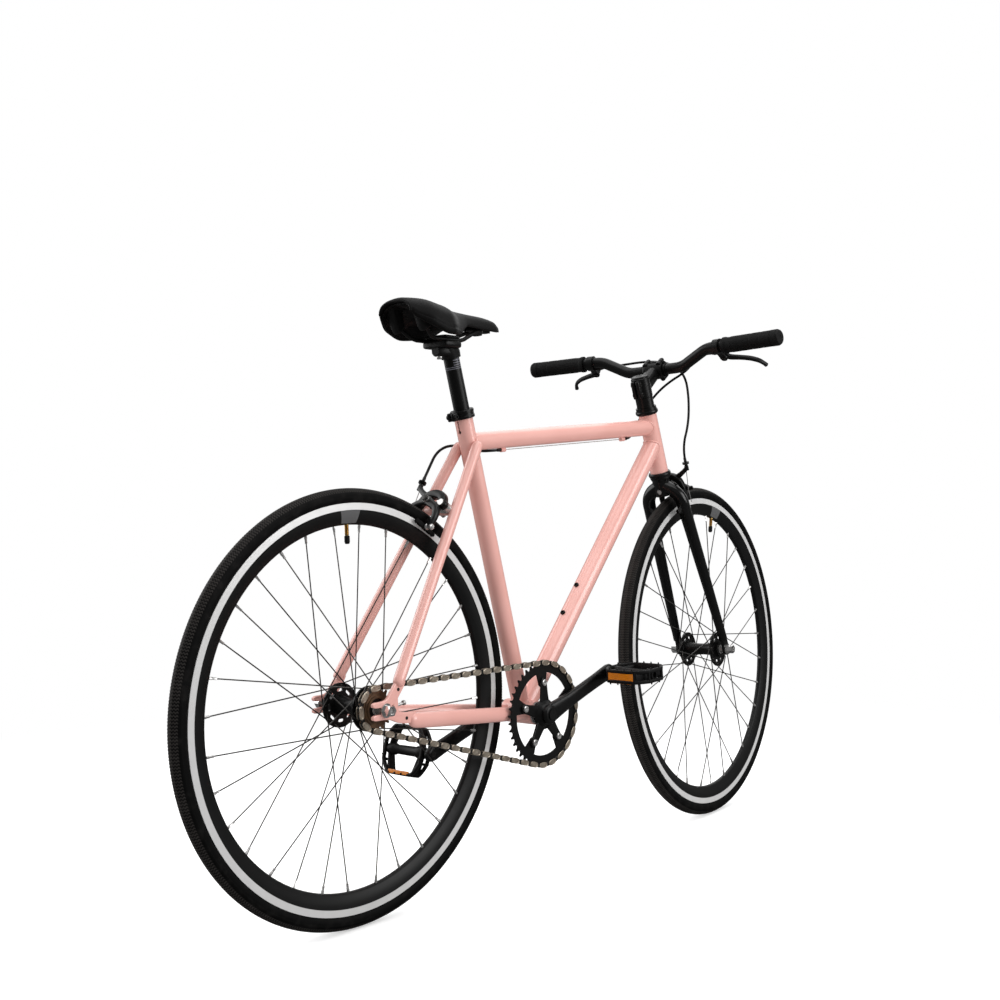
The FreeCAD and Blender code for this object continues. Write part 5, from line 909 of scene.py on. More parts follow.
def brakePlace(name):
    axis = jointAxis(name + "_y_arm_swing")
    up = steerUp if name == "front" else unit(np.cross(sideways, axis))
    up = up if up[2] > 0 else -up
    return jointPoint(name + "_y_arm_swing"), np.array([axis, np.cross(up, axis), up])


def bandShape(keys, middle, place, radii, count):
    # brake arm: a smooth spine in one plane with swelling width
    spine = smooth(keys, count)
    path = put(spread(middle, *spine.T), place)
    widths = smooth(np.array(radii, float)[:, None], count)[:, 0]
    return sweepShape(path, widths, sides=20, up=place[1][0], power=3.4)


def addBrake(name):
    place = brakePlace(name)
    leg, reach = brake["leg"], brake["reach"]
    arch = [(brake["pivotSide"], -brake["pivotDrop"]), (18, 13), (0, 18), (-18, 12), (-leg, -4),
            (-leg - 2, -24), (-leg, -reach)]
    horn = [(-14, 13), (-26, 19), (-38, 27), (-brake["barrelSide"], 33)]
    boss = along(place, (brake["cMiddle"] - brake["half"], brake["pivotSide"], -brake["pivotDrop"]),
                 (1, 0, 0))
    shapes = [bandShape(arch, brake["cMiddle"], place, [6.4, 7.4, 7.6, 7.2, 6.2, 5.2, 4.6], 56),
              bandShape(horn, brake["cMiddle"], place, [6.0, 5.2, 4.4, 4.4], 24),
              turnShape(brake["boss"], boss, 32, closed=True)]
    addPiece(name + "BrakeOuterArm", shapes, alloyBlack, name + "_c_arm",
             [name + "_brake_c_arm"])
    barrel = along(place, (brake["cMiddle"], -brake["barrelSide"], 28.0), (0, 0, 1))
    knurl = [(6.4 + 0.5 * (k % 2), 13.0 + k * 0.62) for k in range(8)]
    adjuster = turnShape([*brake["barrel"], *knurl, (3.4, 18.0), (2.2, 18.0)], barrel, 30, closed=True)
    addPiece(name + "BarrelAdjuster", [adjuster], alloyBlack, name + "_c_arm")
    near = [(0, 0), (12, -7), (leg - 3, -14), (leg + 2, -30), (leg, -reach)]
    far = [(0, 0), (-20, -4), (-brake["anchorSide"], -brake["anchorDrop"])]
    centre = along(place, (brake["yMiddle"] - brake["half"], 0, 0), (1, 0, 0))
    shapes = [bandShape(near, brake["yMiddle"], place, [7.4, 7.0, 6.2, 5.2, 4.6], 44),
              bandShape(far, brake["yMiddle"], place, [6.6, 5.2, 4.4], 24),
              turnShape(brake["boss"], centre, 32, closed=True)]
    addPiece(name + "BrakeInnerArm", shapes, alloyBlack, name + "_y_arm",
             [name + "_brake_y_arm"])
    for part, side, middle in (("c", -1, brake["cMiddle"]), ("y", 1, brake["yMiddle"])):
        body = name + "_" + part + "_arm"
        span = np.linspace(-brake["padLength"] / 2, brake["padLength"] / 2, 25)
        spine = spread(middle + span, side * (brake["padIn"] + 4.0), -reach - brake["padDrop"])
        thick = 3.9 - 0.9 * (np.abs(np.arange(25) - 12) % 6 == 3) - 1.2 * (np.abs(span) > 22)
        pad = sweepShape(put(spine, place), thick, sides=20, up=place[1][2], flat=0.9, power=4.5)
        addPiece(name + "Pad" + part.upper(), [pad], padRubber, body)
        bolt = along(place, (middle, side * (leg + 3.0), -reach), (0, side, 0))
        post = along(place, (middle, side * (brake["padIn"] + 7.6), -reach), (0, side, 0))
        shapes = [hexHead(bolt, 4.6, 4.0), turnShape([(0, 0), (2.6, 0), (2.6, 5.8), (0, 5.8)], bolt, 16),
                  turnShape([(0, 0), (5.2, 0), (5.2, 2.2), (3.8, 3.6), (3.8, 7.0), (0, 7.0)], post, 24)]
        addPiece(name + "PadBolt" + part.upper(), shapes, brightSteel, body)
    front = along(place, (brake["front"] - 0.2, 0, 0), (1, 0, 0))
    side = along(place, (18.8, brake["pivotSide"], -brake["pivotDrop"]), (1, 0, 0))
    anchor = along(place, (26.4, -brake["anchorSide"], -brake["anchorDrop"]), (1, 0, 0))
    addPiece(name + "CentreNut", [hexHead(front, 5.0, 4.8), capHead(side, 6.4, 4.4, 2.6)], darkSteel,
             brakeHolders[name])
    addPiece(name + "AnchorBolt", [hexHead(anchor, 4.0, 3.6)], darkSteel, name + "_y_arm")
    spring = sweepShape(put(smooth(brake["spring"], 30), place), 0.9, sides=8, up=place[1][0])
    addPiece(name + "Spring", [spring], brightSteel, brakeHolders[name])


for name in brakeHolders:
    addBrake(name)
print("brakes dressed")

# Saddle: a padded shell of crescent sections from tail to nose, open below
saddle = {"back": -0.295868, "length": 242.0, "top": 0.987295, "half": 65.5, "rows": 120, "cols": 73,
          "share": [0.00, 0.02, 0.05, 0.16, 0.30, 0.46, 0.62, 0.82, 0.95, 1.00],
          "wide": [0.54, 0.61, 0.69, 0.93, 0.97, 0.66, 0.40, 0.29, 0.24, 0.14],
          "drop": [6.0, 3.5, 1.5, 0.0, 4.5, 11.0, 14.0, 16.0, 20.5, 28.0],
          "edge": [25.0, 31.0, 37.5, 51.0, 61.0, 58.0, 39.0, 40.5, 41.0, 39.0],
          "outer": [(0.0, 1.0), (0.42, 0.93), (0.70, 0.78), (0.87, 0.60), (0.96, 0.38), (1.0, 0.18),
                    (0.985, 0.05), (0.95, 0.0)],
          "under": [(0.0, 0.72), (0.42, 0.69), (0.66, 0.56), (0.80, 0.38), (0.875, 0.18), (0.905, 0.05),
                    (0.915, 0.0)]}


def smoothAt(keys, values, at):
    # cubic through uneven keys, each slope the harmonic mean of the two steps beside it
    keys, values = np.asarray(keys, float), np.asarray(values, float)
    step = np.diff(values) / np.diff(keys)
    pair = step[:-1] * step[1:]
    slope = np.concatenate([step[:1], np.where(pair > 0, 2 * pair / (step[:-1] + step[1:] + 1e-12), 0.0),
                            step[-1:]])
    i = np.clip(np.searchsorted(keys, at, side="right") - 1, 0, len(keys) - 2)
    h = keys[i + 1] - keys[i]
    t = (at - keys[i]) / h
    return ((1 + 2 * t) * (1 - t) ** 2 * values[i] + t * (1 - t) ** 2 * h * slope[i]
            + t ** 2 * (3 - 2 * t) * values[i + 1] + t ** 2 * (t - 1) * h * slope[i + 1])


def saddleLine(keys, at, widen=1.0, lift=1.0):        # one half curve mirrored and scaled to each section
    keys = np.array(keys)
    curve = smooth(np.concatenate([(keys * [-1, 1])[:0:-1], keys]), saddle["cols"])
    wide, drop, edge = (smoothAt(saddle["share"], saddle[name], at)[:, None]
                        for name in ("wide", "drop", "edge"))
    y = wide * saddle["half"] * curve[:, 0] * widen
    z = -edge + (edge - drop) * curve[:, 1] * lift
    return spread(at[:, None] * saddle["length"], y, z)


saddlePlace = (np.array([saddle["back"], 0.0, saddle["top"]]), worldAxes)


def crescent(over, below, ends):
    # two curves per section joined at their edges, each end drawn in to their middle line
    loop = np.concatenate([over, below[:, ::-1]], 1)
    middle = (over + below) / 2
    middle = np.concatenate([middle, middle[:, ::-1]], 1)
    # of the section's size and of the end's reach
    shares = [(0.0, 1.0), (0.45, 0.85), (0.75, 0.6), (0.93, 0.25)]
    first, last = ([middle[k] + (loop[k] - middle[k]) * share + [sign * step * ends, 0, 0]
                    for share, step in shares]
                   for k, sign in ((0, -1), (-1, 1)))
    return gridShape(put(np.concatenate([first, loop, last[::-1]]), saddlePlace))


def saddleCover():
    at = 0.012 + 0.976 * np.linspace(0.0, 1.0, saddle["rows"]) ** 1.25
    over, below = saddleLine(saddle["outer"], at), saddleLine(saddle["under"], at)
    side = np.abs(np.linspace(-1, 1, saddle["cols"]))
    wing = np.clip((0.64 - at[:, None]) / 0.3, 0, 1) ** 2
    groove = np.exp(-((side - 0.70) / 0.022) ** 2) * wing
    hollow = np.exp(-(side / 0.14) ** 2) * np.exp(-((at[:, None] - 0.42) / 0.22) ** 2)
    over[..., 2] -= 1.6 * groove + 2.4 * hollow
    over[..., 1] *= 1 - 0.018 * groove
    return crescent(over, below, 2.6)


def saddleLiner():        # the plastic shell under the padding, ribbed along and across
    at = np.linspace(0.035, 0.95, 90)
    over, below = saddleLine(saddle["under"], at, 0.985, 0.985), saddleLine(saddle["under"], at, 0.95, 0.90)
    side = np.linspace(-1, 1, saddle["cols"])
    ribs = (np.cos(side * 9 * np.pi) > 0.82) | (np.cos(at[:, None] * 14 * np.pi) > 0.9)
    below[..., 2] -= 1.6 * ribs * (np.abs(side) < 0.62)
    return crescent(over, below, 0.5)


cover = addPiece("saddleCover", [saddleCover()], skin, "seat", ["saddle_cover"], sharp=55)


def railSocket(keys, radii, flats, power):        # block under the shell that holds a rail's end
    path = put(smooth(keys, 14), saddlePlace)
    return sweepShape(path, np.linspace(*radii, 14), sides=24, up=(1, 0, 0), flat=np.linspace(*flats, 14),
                      power=power)


sockets = []
for y in (31.0, -31.0):
    keys = [(28, y, -13), (32, y, -28), (38, y * 0.98, -46), (41, y * 0.96, -51)]
    sockets.append(railSocket(keys, (15, 9), (0.8, 0.75), 3.5))
sockets.append(railSocket([(196, 0, -28), (193, 0, -34), (190, 0, -42), (189, 0, -45)], (14, 12), (0.7, 1.1),
                          3.2))
addPiece("saddleLiner", [saddleLiner()] + sockets, plasticBlack, "seat", ["saddle_base"])
rail = [(34.0, 31.5, -40.0), (39.0, 30.8, -44.0), (56.0, 25.0, -58.0), (68.0, 22.0, -63.4),
        (81.0, 22.0, -64.0), (121.0, 22.0, -64.0), (136.0, 21.5, -62.5), (150.0, 19.0, -57.0),
        (171.0, 14.0, -48.0), (190.0, 10.0, -41.0)]
lines = [put(smooth(np.array(rail) * [1, side, 1], 64), saddlePlace) for side in (1, -1)]
shapes = [sweepShape(line, 3.5, sides=16, up=(0, 1, 0.2)) for line in lines]
addPiece("saddleRails", shapes, satinBlack, "seat", ["saddle_rails"])
clamp = {"railX": -186.0, "railZ": 923.295, "postTop": (-164.87, 0.0, 897.29),
         "plates": [(-7.0, 20.0, 6.6, 28.5), (4.6, 17.0, 3.6, 26.0)],
         "horn": [(-172.0, 0, 908.0), (-186.0, 0, 907.0), (-197.0, 0, 906.0), (-203.0, 0, 905.5)],
         "bolt": (-193.0, 0, 896.5)}
post = np.array(clamp["postTop"])
shapes = []
for level, half, thick, width in clamp["plates"]:
    span = np.array([-1.0, -0.97, -0.9, -0.75, 0.75, 0.9, 0.97, 1.0]) * half
    path = put(spread(clamp["railX"] + span, 0.0, clamp["railZ"] + level), groundPlace)
    radii = thick * np.array([0.5, 0.8, 0.95, 1, 1, 0.95, 0.8, 0.5])
    shapes.append(sweepShape(path, radii, sides=32, flat=width / thick, power=4.5))
neck = np.array([post - seatUp * 1.5, post - seatUp, post + seatUp * 5, (-173.0, 0, 909.0),
                 (-177.0, 0, 917.0)])
shapes.append(sweepShape(put(neck, groundPlace), [13.8, 14.8, 15.6, 17.0, 18.0], sides=32, up=(0, 1, 0),
                         flat=1.05, power=2.6))
shapes.append(sweepShape(put(clamp["horn"], groundPlace), [16.0, 15.0, 12.0, 8.0], sides=28, up=(0, 1, 0),
                         flat=[0.75, 0.75, 0.8, 0.85], power=3.4))
addPiece("saddleClamp", shapes, satinBlack, "seat", ["saddle_clamp"])
clampBolt = along(groundPlace, clamp["bolt"], (0, 0, -1))
addPiece("saddleClampBolt", [capHead(clampBolt, 4.8, 4.2, 2.5)], brightSteel, "seat")
print("saddle covered")

# Collar: a grooved ring on the seat tube with two ears and a bolt behind
seatBack = np.array([-seatUp[2], 0.0, seatUp[0]])
collarPlace = (seatTop, np.array([seatBack, [0.0, -1.0, 0.0], seatUp]))
collar = {"rows": [(16.1, -13), (19.4, -13), (20.3, -12), (20.3, -8.4), (19.7, -7.8), (19.7, -3.2),
                   (20.3, -2.6), (20.3, 1.0), (19.4, 2.0), (14.0, 2.0), (14.0, 0.6), (16.1, 0.5)],
          "earBack": 24.5, "earSide": 4.4,
          "ear": [(-12.6, 5.6), (-12.0, 6.8), (-10.5, 7.4), (-0.5, 7.4), (1.0, 6.8), (1.6, 5.6)]}
shapes = [turnShape(collar["rows"], along(collarPlace, (0, 0, 0), (0, 0, 1)), 56, closed=True)]
level, radii = np.array(collar["ear"]).T
for side in (1, -1):
    ear = put(spread(collar["earBack"], side * collar["earSide"], level), collarPlace)
    shapes.append(sweepShape(ear, radii, sides=28, up=seatBack, flat=0.48, power=3.0))
addPiece("seatCollar", shapes, alloyBlack, "frame", ["seat_collar"])
heads = [capHead(along(collarPlace, (26, side * 7.6, -5.5), (0, side, 0)), 4.4, 3.2, 2.2) for side in (1, -1)]
addPiece("seatCollarBolt", heads, alloyBlack, "frame")

# Stem: a clamp on the steerer with two ears, the forward tube, and two bands round the bar
stem = {"low": 553.974, "height": 40.0, "radius": 18.4, "bore": 14.6, "bolts": 15.0, "boltRise": 15.9,
        "earBack": -20.5, "earSide": 5.3,
        "ear": [(2.5, 4.6), (3.2, 5.6), (5.0, 6.2), (35.0, 6.2), (36.8, 5.6), (37.5, 4.6)], "band": 15.7,
        "bandHalf": 20.8, "bandThick": 2.7, "arcs": [(98, 262), (-80, 80)],
        "lug": [(0, 0), (4.6, 0), (5.4, 1), (5.4, 9.2), (4.9, 9.4), (4.9, 10.6), (5.4, 10.8), (5.4, 20),
                (4.6, 21), (0, 21)],
                "cap": [(0, 0), (16.6, 0), (17.4, 1.0), (16.8, 2.8), (14.6, 3.8), (6.2, 3.9), (5.6, 2.2),
                        (0, 2.2)]}
barMiddle = np.array([0.443651, 0.008554, 0.915022])
stemMiddle = put((0, 0, stem["low"] + stem["height"] / 2), steerPlace)
stemAxis = unit(barMiddle - stemMiddle)
barPlace = (barMiddle, np.array([stemAxis, steerPlace[1][1], np.cross(stemAxis, steerPlace[1][1])]))


def addStem():
    base = along(steerPlace, (0, 0, stem["low"]), (0, 0, 1))
    outer, high = stem["radius"], stem["height"]
    rows = [(stem["bore"], 0), (outer - 1, 0), (outer, 1.2), (outer, high - 1.2), (outer - 1, high),
            (stem["bore"], high)]
    shapes = [turnShape(rows, base, 48, closed=True)]
    run = np.linalg.norm(barMiddle - stemMiddle) / mm
    tube = stemMiddle + np.outer(np.linspace(9, run - 14, 12) * mm, stemAxis)
    shapes.append(sweepShape(tube, np.linspace(15.5, 13.6, 12), sides=32, up=steerPlace[1][1], power=2.3))
    level, radii = np.array(stem["ear"]).T
    for side in (1, -1):
        ear = put(spread(stem["earBack"], side * stem["earSide"], stem["low"] + level), steerPlace)
        shapes.append(sweepShape(ear, radii, sides=24, up=steerPlace[1][0], flat=0.66, power=3.6))
    for limits in stem["arcs"]:
        arc = np.radians(np.linspace(*limits, 28))
        path = put(spread(stem["band"] * np.cos(arc), 0.0, stem["band"] * np.sin(arc)), barPlace)
        shapes.append(sweepShape(path, stem["bandHalf"], sides=32, up=steerPlace[1][1],
                                 flat=stem["bandThick"] / stem["bandHalf"], power=6.0))
    heads = []
    for across in (stem["bolts"], -stem["bolts"]):
        for rise in (stem["boltRise"], -stem["boltRise"]):
            lug = along(barPlace, (-10, across, rise), (1, 0, 0))
            shapes.append(turnShape(stem["lug"], lug, 24))
            heads.append(capHead(along(barPlace, (10.8, across, rise), (1, 0, 0)), 4.1, 3.4, 2.0))
    for rise in (10.0, 30.0):
        for side, height in ((-1, 3.0), (1, 1.6)):
            seat = along(steerPlace, (-21, side * 8.6, stem["low"] + rise), (0, side, 0))
            heads.append(capHead(seat, 4.1, height, 2.0))
    cap = along(steerPlace, (0, 0, stem["low"] + high), (0, 0, 1))
    shapes.append(turnShape(stem["cap"], cap, 48))
    heads.append(capHead(along(steerPlace, (0, 0, stem["low"] + high + 1.5), (0, 0, 1)), 4.6, 2.2, 2.3))
    addPiece("stemBody", shapes, alloyBlack, "steering", ["stem", "stem_faceplate"])
    addPiece("stemBolts", heads, darkSteel, "steering", ["stem_bolts"])


addStem()
print("stem dressed")

# Cables: each housing on the smooth spline of its route's points, the bare wires straight
cable = {"housing": 2.4, "wire": 0.9, "barrel": 20.0, "frontStop": (0.313036, 0.0, 0.772014),
         "rearStop": (-0.038885, 0.0, 0.744426), "stopStep": 2.2}
topAxis = unit(topFront - topRear)


def fromBar(x, y, z):        # millimetres from the middle of the bar, along the row frame's axes
    return barMiddle + np.array([x, y, z]) * mm


def fromStop(x, y, z):        # the same from the rear stop of the top tube
    return np.array(cable["rearStop"]) + np.array([x, y, z]) * mm


def barrelTop(name):
    return put((brake["cMiddle"], -brake["barrelSide"], brake["barrelRise"]), brakePlace(name))


def leverExit(side):
    return put((barEnd["barrelReach"], 0, barEnd["barrelEnd"]), barEnds[side])


frontSeat = np.array(cable["frontStop"]) + topAxis * cable["stopStep"] * mm
rearSeat = np.array(cable["rearStop"]) - topAxis * cable["stopStep"] * mm
frontRise, rearRise = brakePlace("front")[1][2], brakePlace("rear")[1][2]
leftIn, rightIn = barEnds["left"][1][2], barEnds["right"][1][2]
routes = {"frontHousing": [leverExit("left"), leverExit("left") + leftIn * 0.030, fromBar(18, 29, 23),
                           fromBar(37, -13, 16), fromBar(42, -43, -10), fromBar(36, -55, -55),
                           fromBar(30, -57, -110), barrelTop("front") + frontRise * 0.030,
                           barrelTop("front")],
          "rearHousingAhead": [leverExit("right"), leverExit("right") + rightIn * 0.040, fromBar(33, -59, -1),
                               fromBar(14, -13, -29), fromBar(2, 19, -63), fromBar(-23, 27, -101),
                               fromBar(-68, 15, -131), frontSeat + topAxis * 0.020, frontSeat],
          "rearHousingBehind": [rearSeat, rearSeat - topAxis * 0.018, fromStop(-45, 16, -3),
                                fromStop(-73, 29, 6), fromStop(-102, 36, 7), fromStop(-124, 42, -6),
                                barrelTop("rear") + rearRise * 0.028, barrelTop("rear")]}


def splinePoints(name, route):        # the route's smooth spline, read as points
    curve = bpy.data.curves.new(name + "Line", "CURVE")
    curve.dimensions = "3D"
    curve.resolution_u = 16
    spline = curve.splines.new("NURBS")
    spline.points.add(len(route) - 1)
    rows = np.hstack([np.array(route), np.ones((len(route), 1))])
    spline.points.foreach_set("co", rows.astype(np.float32).ravel())
    spline.order_u = 3
    spline.use_endpoint_u = True
    line = addObject(name + "Line", curve)
    bpy.context.view_layer.update()
    mesh = bpy.data.meshes.new_from_object(line)
    points = np.zeros(len(mesh.vertices) * 3, np.float32)
    mesh.vertices.foreach_get("co", points)
    bpy.data.objects.remove(line)
    bpy.data.meshes.remove(mesh)
    bpy.data.curves.remove(curve)
    return points.reshape(-1, 3).astype(float)


def addHousing(name, body, replaced, across):
    points = splinePoints(name, routes[name])
    shape = sweepShape(points, cable["housing"], sides=14, up=across)
    housing = addPiece(name, [shape], sheathBlack, body, [replaced])
    return housing, points


addHousing("frontHousing", "steering", "front_brake_cable", (1.0, 0.3, 0.1))
ahead, aheadPoints = addHousing("rearHousingAhead", None, "rear_brake_cable", (1.0, 0.2, 0.3))
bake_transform(ahead)
addHousing("rearHousingBehind", "frame", "rear_brake_cable", (0.1, 0.2, 1.0))


def ferrule(point, axis, length=9.0):
    # metal end cap, its mouth at the point and its body back along the axis
    rows = [(0, -0.4), (2.9, -0.4), (2.9, length * 0.8), (2.55, length), (0, length)]
    return turnShape(rows, (point, axesFrom(axis, np.array([0.31, 0.9, 0.2]))), 20)


shapes = [ferrule(leverExit("left"), leftIn), ferrule(leverExit("right"), rightIn),
          ferrule(barrelTop("front"), frontRise)]
addPiece("steeringFerrules", shapes, alloyBlack, "steering")
shapes = [ferrule(frontSeat, topAxis, 12.0), ferrule(rearSeat, -topAxis, 12.0),
          ferrule(barrelTop("rear"), rearRise)]
addPiece("frameFerrules", shapes, alloyBlack, "frame")


def wireShape(start, end, rows=3):
    return sweepShape(np.linspace(start, end, rows), cable["wire"] * 0.8, sides=8, up=(0.3, 0.9, 0.2))


for name, body in brakeHolders.items():
    place = brakePlace(name)
    anchor = put((brake["cMiddle"], -brake["anchorSide"], -brake["anchorDrop"]), place)
    tail = put((brake["cMiddle"], -brake["anchorSide"] - 2.0, -brake["anchorDrop"] - 26.0), place)
    shapes = [wireShape(barrelTop(name), anchor, 24), wireShape(anchor, tail)]
    wire = addPiece(name + "Wire", shapes, brightSteel, None)
    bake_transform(wire)
addPiece("topTubeWire", [wireShape(rearSeat, frontSeat)], brightSteel, "frame")
print("cables run")

# Pedals: two eight-sided rings on posts round a barrel, with braces, reflector backs and pins
pedal = {"start": 83.3, "width": 94.0, "length": 86.0, "end": 62.0, "ring": 9.0, "inset": 2.2,
         "tilt": {"right": 3.0, "left": 74.0},
         "pin": [(0, 0), (1.8, 0), (1.8, 1.0), (1.2, 1.4), (1.2, 2.8), (0.9, 3.2), (0, 3.2)]}


def pedalPlace(name, hand):        # first axis to the front edge, second up, third outwards
    tilt = math.radians(pedal["tilt"][name])
    outwards = np.array([0.0, -hand, 0.0])
    ahead = np.array([math.cos(tilt), 0.0, math.sin(tilt)])
    return jointPoint(name + "_pedal_spin"), np.array([ahead, np.cross(outwards, ahead), outwards])


def addPedal(name, hand):
    place = pedalPlace(name, hand)
    up = place[1][1]
    inset = pedal["inset"]
    half, start = pedal["length"] / 2 - inset, pedal["start"] + inset
    end = pedal["start"] + pedal["width"] - inset
    middle, skirt, corner = (start + end) / 2, (pedal["width"] - pedal["end"]) / 2, pedal["length"] * 0.225
    outline = np.array([(half, start + skirt), (half, end - skirt), (corner, end), (-corner, end),
                        (-half, end - skirt), (-half, start + skirt), (-corner, start), (corner, start)])
    loop = roundedLoop(outline, 0.14, 128)
    shapes = []
    for level in (pedal["ring"], -pedal["ring"]):
        ring = put(spread(loop[:, 0], level, loop[:, 1]), place)
        shapes.append(sweepShape(ring, 3.2, sides=16, up=up, flat=0.9, power=4.0, closed=True))
    tall = np.linspace(-pedal["ring"], pedal["ring"], 4)
    posts = spread(outline[:, :1], tall, outline[:, 1:])
    shapes.append(sweepShapes(put(posts, place), 2.4, sides=12, up=place[1][2], power=3.0))
    barrel = along(place, (0, 0, 0), (0, 0, 1))
    rows = [(5.3, start - 1), (8.5, start - 1), (10.6, start + 3), (10.6, start + 17), (8.8, start + 21),
            (8.2, end - 21), (10.4, end - 17), (10.4, end - 5), (8.6, end - 1), (5.3, end - 1)]
    shapes.append(turnShape(rows, barrel, 32, closed=True))
    for sign in (1, -1):
        for lean in (1, -1):
            brace = np.linspace((sign * 7.0, 0, middle + lean * 37),
                                (sign * (half - 1), 0, middle + lean * 29), 6)
            shapes.append(sweepShape(put(brace, place), np.linspace(7.0, 9.0, 6), sides=16, up=up, flat=0.4,
                                     power=4.0))
        back = spread(sign * (half - 2.6), 0.0, np.linspace(middle - 28, middle + 28, 6))
        shapes.append(sweepShape(put(back, place), 9.2, sides=16, up=up, flat=0.11, power=6.0))
    addPiece(name + "PedalCage", shapes, plasticBlack, name + "_pedal", ["pedal_" + name])
    strip = put(spread(2.0 - half, -pedal["ring"] - 3.2, np.linspace(middle - 25, middle + 25, 6)), place)
    shapes = [sweepShape(strip, 0.5, sides=16, up=up, flat=6.4, power=6.0)]
    addPiece(name + "PedalStrip", shapes, amber, name + "_pedal")
    spots = [(sign * half, shift) for sign in (1, -1) for shift in (-24, -8, 8, 24)]
    spots += [(sign * 12.0, shift) for sign in (1, -1) for shift in (start - middle, end - middle)]
    pins = []
    for x, shift in spots:
        for face in (1, -1):
            stand = along(place, (x, face * (pedal["ring"] + 2.9), middle + shift), (0, face, 0))
            pins.append(turnShape(pedal["pin"], stand, 12))
    addPiece(name + "PedalPins", pins, satinBlack, name + "_pedal")


for name, hand in (("right", 1), ("left", -1)):
    addPedal(name, hand)
print("pedals caged")

# Stays: round seat stays and tall oval chain stays with domed ends, and the brake bridge
stays = {"seatFoot": (-365.36, 68.0, 384.0), "seatHead": (-128.63, 21.4, 747.57),
         "chainFoot": (-338.36, 68.0, 316.0), "chainHead": (0.0, 22.0, 282.0), "bridge": 7.5,
         "bridgeBack": 7.9, "bridgeHalf": 34.0,
         "seatRows": [(-13, 1), (-12.6, 4.2), (-11, 7.0), (-8, 8.6), (-2, 9.2), (8, 9.3), (200, 9.2),
                      (405, 9.3), (430, 9.8), (437, 9.2), (442, 7.4), (445, 4.4), (446, 1)],
                      "chainRows": [(-8, 2.0, 1.4), (-7, 6.0, 4.2), (-4, 9.2, 6.2), (2, 11.2, 7.4),
                                    (10, 12.2, 7.8), (40, 12.6, 8.0), (110, 12.8, 8.2), (200, 12.6, 8.4),
                                    (300, 12.2, 8.4), (330, 12.0, 8.4)]}
seatShapes, chainShapes = [], []
for side in (1, -1):
    ends = ("seatFoot", "seatHead", "chainFoot", "chainHead")
    foot, head, low, front = (np.array(stays[key]) * [1.0, side, 1.0] for key in ends)
    at, radius = np.array(stays["seatRows"]).T
    seatShapes.append(sweepShape(put(foot + np.outer(at, unit(head - foot)), groundPlace), radius, sides=32,
                                 up=(1, 0, 0)))
    at, tall, wide = np.array(stays["chainRows"]).T
    chainShapes.append(sweepShape(put(low + np.outer(at, unit(front - low)), groundPlace), tall, sides=32,
                                  flat=wide / tall))
rearBrake = brakePlace("rear")
bridge = spread(-stays["bridgeBack"], np.linspace(-1, 1, 7) * stays["bridgeHalf"], 0.0)
seatShapes.append(sweepShape(put(bridge, rearBrake), stays["bridge"], sides=24, up=rearBrake[1][2]))
addPiece("chainStays", chainShapes, pink, "frame", ["chainstays"], sharp=60)
addPiece("seatStays", seatShapes, pink, "frame", ["seatstays"], sharp=60)
print("stays capped")

# Rear dropouts: three flat bars on each side leave the slot between them
# rows of place ahead of and above the axle, and half width
dropout = {"middle": 68.0, "half": 3.0, "eyelets": [(26.5, 29.0), (43.5, -16.8)], "eyelet": (2.7, 0.5, 1.4),
           "upper": [(38, 43, 6.5), (33, 37.5, 8.4), (26.5, 30.5, 9.2), (19.5, 22, 9.2), (12, 14, 8.6),
                     (3, 10.6, 5.6), (-8, 9.6, 4.6), (-19, 9.6, 4.3), (-23, 9.6, 3.6), (-25.5, 9.6, 2.2)],
           "lower": [(62, -17, 7.0), (52, -17, 8.4), (42, -16.5, 8.6), (30, -14.4, 8.4), (18, -11.6, 6.8),
                     (8, -10, 5.0), (-2, -9.6, 4.6), (-19, -9.6, 4.3), (-23, -9.6, 3.6), (-25.5, -9.6, 2.2)],
           "web": [(21, 20, 5.0), (21.3, 10, 5.0), (21.9, 0, 4.9), (23, -8, 5.6), (26, -14, 6.6)],
           "screw": (22.0, 3.7), "reach": (38.5, 6.4), "shank": 2.2, "head": 3.5, "headHeight": 4.6}
bottle = {"places": [(118.9, 0, 448.85), (160.75, 0, 497.3)], "out": (-0.7568, 0, 0.6537), "sink": 1.6,
          "radius": 4.5, "height": 3.2, "socket": 2.4}
axlePoint = jointPoint("rear_wheel_spin") * [1, 0, 1]
plates, eyelets, bolts = [], [], []
for side in (1, -1):
    plane = (axlePoint + np.array([0, side * dropout["middle"] * mm, 0]), worldAxes)
    for key in ("upper", "lower", "web"):
        ahead, above, half = smooth(dropout[key], 48).T
        path = put(spread(ahead, 0.0, above), plane)
        plates.append(sweepShape(path, dropout["half"], sides=32, up=(0, 1, 0), flat=half / dropout["half"],
                                 power=7.0))
    for ahead, above in dropout["eyelets"]:
        eyelets.append(capHead(along(plane, (ahead, side * dropout["half"], above), (0, side, 0)),
                               *dropout["eyelet"]))
    (fromX, fromZ), (toX, toZ) = dropout["screw"], dropout["reach"]
    run = along(plane, (toX, 0, toZ), (toX - fromX, 0, toZ - fromZ))
    bolts.append(sweepShape(put([(fromX, 0, fromZ), (toX, 0, toZ)], plane), dropout["shank"], sides=16))
    bolts.append(hexHead(run, dropout["head"], dropout["headHeight"]))
for spot in bottle["places"]:
    seat = along(groundPlace, np.array(spot) - np.array(bottle["out"]) * bottle["sink"], bottle["out"])
    bolts.append(capHead(seat, bottle["radius"], bottle["height"], bottle["socket"]))
addPiece("rearDropouts", plates, pink, "frame", ["rear_dropouts"], sharp=60)
addPiece("eyeletScrews", eyelets, darkSteel, "frame")
addPiece("frameBolts", bolts, boltSteel(), "frame", ["frame_bolts"])
print("dropouts bent")

